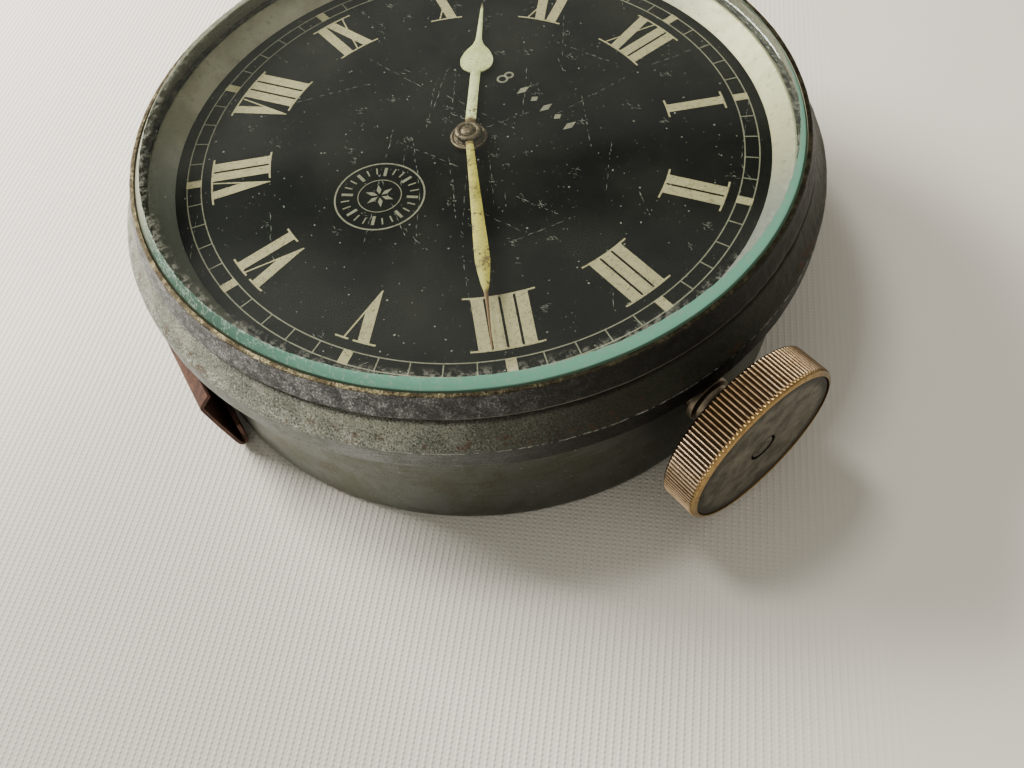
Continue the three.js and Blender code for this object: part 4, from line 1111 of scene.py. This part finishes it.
def knob_rim(paint):
    """The knob's rim. Its ridges are cut into the cylinder and run out just before each chamfer."""
    outline = rounded([
        (STEM_BORE, KNOB_BACK - 1.2), (2.3, KNOB_BACK - 1.2, 0.15), (2.5, KNOB_BACK, 0.1),
        (KNOB_RADIUS - 0.35, KNOB_BACK, 0.15), (KNOB_RADIUS, KNOB_BACK + 0.22, 0.15),
        (KNOB_RADIUS, KNOB_FRONT - 0.45, 0.14), (KNOB_RADIUS - 0.2, KNOB_FRONT - 0.16, 0.12),
        (KNOB_RADIUS - 0.56, KNOB_FRONT, 0.04), (KNOB_FACE_RADIUS + 0.08, KNOB_FRONT - 0.04, 0.02),
        (KNOB_FACE_RADIUS + 0.08, KNOB_FRONT - 0.7), (STEM_BORE, KNOB_FRONT - 0.7),
    ])
    first, last, run_out = KNOB_BACK - 0.1, KNOB_FRONT - 0.3, 0.3

    def shape(p):
        reach = p.xy.length
        if reach < KNOB_RADIUS - 0.55 or not first < p.z < last:
            return p
        ease = min(1.0, (p.z - first) / run_out, (last - p.z) / run_out)
        turn = math.atan2(p.y, p.x)
        crest = 0.5 + 0.5 * math.cos(RIDGES * turn)
        depth = RIDGE_DEPTH * math.sqrt(max(0.0, ease)) * (1 - crest)
        return Vector((p.x, p.y, 0)) * ((reach - depth) / reach) + Vector((0, 0, p.z))

    rim = along_x(lathe(dense(outline, 0.16), RIDGES * 10, shape))
    piece("knob_ridged_rim", [rim], paint, ["knob_rim"], "knob", sharp=48)


def knob_front(disc):
    face = rounded([
        (1.55, KNOB_FRONT - 0.55), (KNOB_FACE_RADIUS, KNOB_FRONT - 0.55),
        (KNOB_FACE_RADIUS, KNOB_FRONT - 0.14, 0.1), (1.55, KNOB_FRONT - 0.12, 0.06),
    ])
    uneven = lambda p: p + Vector((0, 0, 0.02 * noise.noise(p * 0.5)))
    solid = along_x(lathe(dense(face, 0.4), 256, uneven))
    piece("knob_front_disc", [solid], disc, ["knob_face"], "knob")
    rivet = rounded([
        (0, KNOB_FRONT - 0.5), (1.34, KNOB_FRONT - 0.5), (1.34, KNOB_FRONT - 0.2, 0.08),
        (1.0, KNOB_FRONT - 0.14, 0.06), (0.92, KNOB_FRONT - 0.24, 0.04),
        (0.82, KNOB_FRONT - 0.14, 0.05), (0, KNOB_FRONT - 0.1),
    ])
    piece("knob_centre_rivet", [along_x(lathe(rivet, 96))], disc, ["knob_rivet"],
          "knob")


def stem_neck(nickel):
    neck = rounded([
        (STEM_BORE, 34.0), (1.8, 34.0), (1.8, 37.45), (2.6, 37.5, 0.08), (2.6, 38.1, 0.12),
        (2.1, 38.35, 0.1), (2.0, 38.8, 0.2), (2.1, KNOB_BACK - 1.5, 0.1), (STEM_BORE, KNOB_BACK - 1.5),
    ])
    piece("stem_neck", [along_x(lathe(neck, 128))], nickel, ["stem_tube"])


# ---- clips

def clip_outline():
    """The bent spring leaf seen from its edge: distance from the axis, and height."""
    line = [
        (36.8, 4.2), (36.8, 0.9), (37.0, 0.55), (37.35, 0.5), (37.65, 0.9), (37.9, 2.2),
        (38.5, 5.7), (39.05, 9.5), (38.95, 9.95), (37.75, 11.1),
    ]
    line = [Vector(p) for p in line]
    sides = ([], [])
    for i, point in enumerate(line):
        way = (line[min(i + 1, len(line) - 1)] - line[max(i - 1, 0)]).normalized()
        offset = Vector((way.y, -way.x)) * (CLIP_THICKNESS / 2)
        sides[0].append(point + offset)
        sides[1].append(point - offset)
    return sides[0] + sides[1][::-1]


def clips(rust, steel):
    half = CLIP_WIDTH / 2
    strip = moved(prism(clip_outline(), -half, half), lambda p: Vector((p.x, p.z, p.y)))
    hole = lathe([(0, 36), (0.75, 36), (0.75, 38), (0, 38)], 48)
    hole = along_x(hole, CLIP_SCREW_HEIGHT)
    screw = rounded([
        (0, 36.6), (0.55, 36.6), (0.55, 37.2), (1.0, 37.2, 0.05), (0.85, 37.48, 0.12), (0, 37.5),
    ])
    screw = along_x(lathe(screw, 64), CLIP_SCREW_HEIGHT)
    for side, azimuth in CLIP_AZIMUTHS.items():
        leaf = piece(f"spring_clip_{side}", [turned_to(strip, azimuth)], rust,
                     [f"fixing_clip_{side}"], holes=[turned_to(hole, azimuth)])
        soften(leaf, 0.1)
        piece(f"clip_rivet_{side}", [turned_to(screw, azimuth)], steel,
              [f"clip_screw_{side}"])


# ---- what stays from the CAD frame

def dress_movement(brass, steel, blued, rubber):
    """Finishes the movement's CAD solids, which keep their shapes."""
    paints = {"glass_gasket": rubber}
    for name in (
        "dial_support_ring", "barrel_drum", "barrel_cover", "intermediate_wheel", "centre_wheel",
        "third_wheel", "fourth_wheel", "balance_wheel", "balance_cock", "main_plate", "rear_plate",
        "pillar_1", "pillar_2", "pillar_3", "pillar_4", "minute_wheel", "setting_wheel", "hour_wheel",
    ):
        paints[name] = brass
    for name in ("mainspring", "hairspring", "regulator", "cock_screw", "click_spring"):
        paints[name] = blued
    for name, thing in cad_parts.items():
        if thing.hide_render:
            continue
        thing.data.materials.clear()
        thing.data.materials.append(paints.get(name, steel))
        soften(thing, 0.04, 1)


# ---- stage

LAMP_DISTANCE = 340.0


def camera():
    place = Vector((66.64, -41.37, 90.21))
    aim = Vector((28.26, -16.68, 20.3))
    roll = Matrix.Rotation(math.radians(-7.26), 4, "Z")
    level = (aim - place).to_track_quat("-Z", "Y").to_matrix().to_4x4()
    lens = bpy.data.cameras.new("camera")
    lens.lens = 32.04
    lens.sensor_width = 36.0
    lens.clip_start = 0.005
    thing = linked("camera", lens)
    thing.matrix_world = Matrix.Translation(place * MM) @ level @ roll
    bpy.context.scene.camera = thing


def floor(paint):
    half = 3000.0
    corners = [(-half, -half, 0), (half, -half, 0), (half, half, 0), (-half, half, 0)]
    mesh = bpy.data.meshes.new("floor")
    mesh.from_pydata([Vector(c) * MM for c in corners], [], [[0, 1, 2, 3]])
    mesh.materials.append(paint)
    linked("floor", mesh)


def softbox(name, azimuth, elevation, size, power):
    """A warm rectangular lamp that points at the clock."""
    lamp = bpy.data.lights.new(name, "AREA")
    lamp.shape = "RECTANGLE"
    lamp.size, lamp.size_y = size[0] * MM, size[1] * MM
    lamp.energy = power
    lamp.color = (1.0, 0.96, 0.9)
    thing = linked(name, lamp)
    flat = polar(math.cos(math.radians(elevation)), azimuth)
    back = Vector((flat.x, flat.y, math.sin(math.radians(elevation))))
    thing.location = back * LAMP_DISTANCE * MM
    thing.rotation_mode = "QUATERNION"
    thing.rotation_quaternion = (-back).to_track_quat("-Z", "Y")


def daylight():
    """A pale room with a dark slanting rail, which the glass mirrors as a band across the dial."""
    world = bpy.data.worlds.new("room")
    bpy.context.scene.world = world
    world.use_nodes = True
    tree = world.node_tree
    tree.nodes.clear()
    slant = {0: add_node(tree, "ShaderNodeTexCoord", {}, "Generated"), 1: (0.886, -0.641, 1.0)}
    rise = add_node(tree, "ShaderNodeVectorMath", slant, "Value", operation="DOT_PRODUCT")
    lowest, highest = -1.5, 1.5
    whole = {"Value": rise, "From Min": lowest, "From Max": highest}
    ramp = add_node(tree, "ShaderNodeValToRGB", {0: add_node(tree, "ShaderNodeMapRange", whole)})
    levels = ramp.socket.node.color_ramp.elements
    shades = (
        (lowest, 0.3), (highest, 0.4), (-0.3, 0.3), (-0.15, 0.24), (-0.11, 0.04), (-0.03, 0.04),
        (0.02, 0.24), (0.12, 0.34), (0.45, 0.36), (0.7, 0.62), (1.1, 0.62),
    )
    for i, (height, level) in enumerate(shades):
        stop = levels[i] if i < 2 else levels.new((height - lowest) / (highest - lowest))
        stop.color = (level, 0.96 * level, 0.86 * level, 1)
    background = add_node(tree, "ShaderNodeBackground", {"Color": ramp})
    add_node(tree, "ShaderNodeOutputWorld", {"Surface": background})


def stage():
    camera()
    floor(cloth_paint())
    daylight()
    softbox("window", 204, 37, (160, 100), 2.7)
    softbox("skylight", 202, 68, (70, 70), 0.5)


# ---- the clock

def build():
    gunmetal = gunmetal_paint()
    steel = plain_metal_paint("bright_steel", (186, 184, 178), (120, 116, 106), 0.24, 3.0)
    brass = plain_metal_paint("movement_brass", (214, 180, 112), (166, 128, 70), 0.3, 4.0)
    blued = plain_metal_paint("blued_steel", (62, 82, 132), (36, 44, 78), 0.26, 3.0)
    nickel = plain_metal_paint("nickel", (176, 164, 144), (92, 78, 60), 0.4, 3.0)
    bronze = bronze_paint()
    case_shell(gunmetal)
    back_plate(gunmetal)
    cover_screws(steel)
    bezel_ring(bezel_paint())
    glass_plate(glass_paint(), bevel_paint())
    rehaut(rehaut_paint())
    cream = print_paint("cream_ink", (188, 176, 138), (158, 147, 110))
    grey = print_paint("track_ink", (150, 146, 126), (108, 105, 88))
    dial_plate(dial_paint())
    numerals(cream)
    minute_track(grey, cream)
    day_mark(grey)
    roundel(grey)
    dial_wear(print_paint("scuffs", (166, 168, 155), (92, 94, 86)))
    hour_lume = luminous_paint("hour_lume", (224, 226, 168), (204, 205, 140), 2.9, 23.2, 8.0)
    minute_lume = luminous_paint("minute_lume", (198, 184, 84), (170, 158, 64), 1.9, 22.4,
                                 30.0)
    hour_hand(hour_lume, bronze)
    minute_hand(minute_lume, bronze)
    knob_rim(knob_brass_paint())
    knob_front(dull_disc_paint())
    stem_neck(nickel)
    clips(rust_paint(), steel)
    dress_movement(brass, steel, blued, rubber_paint())


stage()
build()
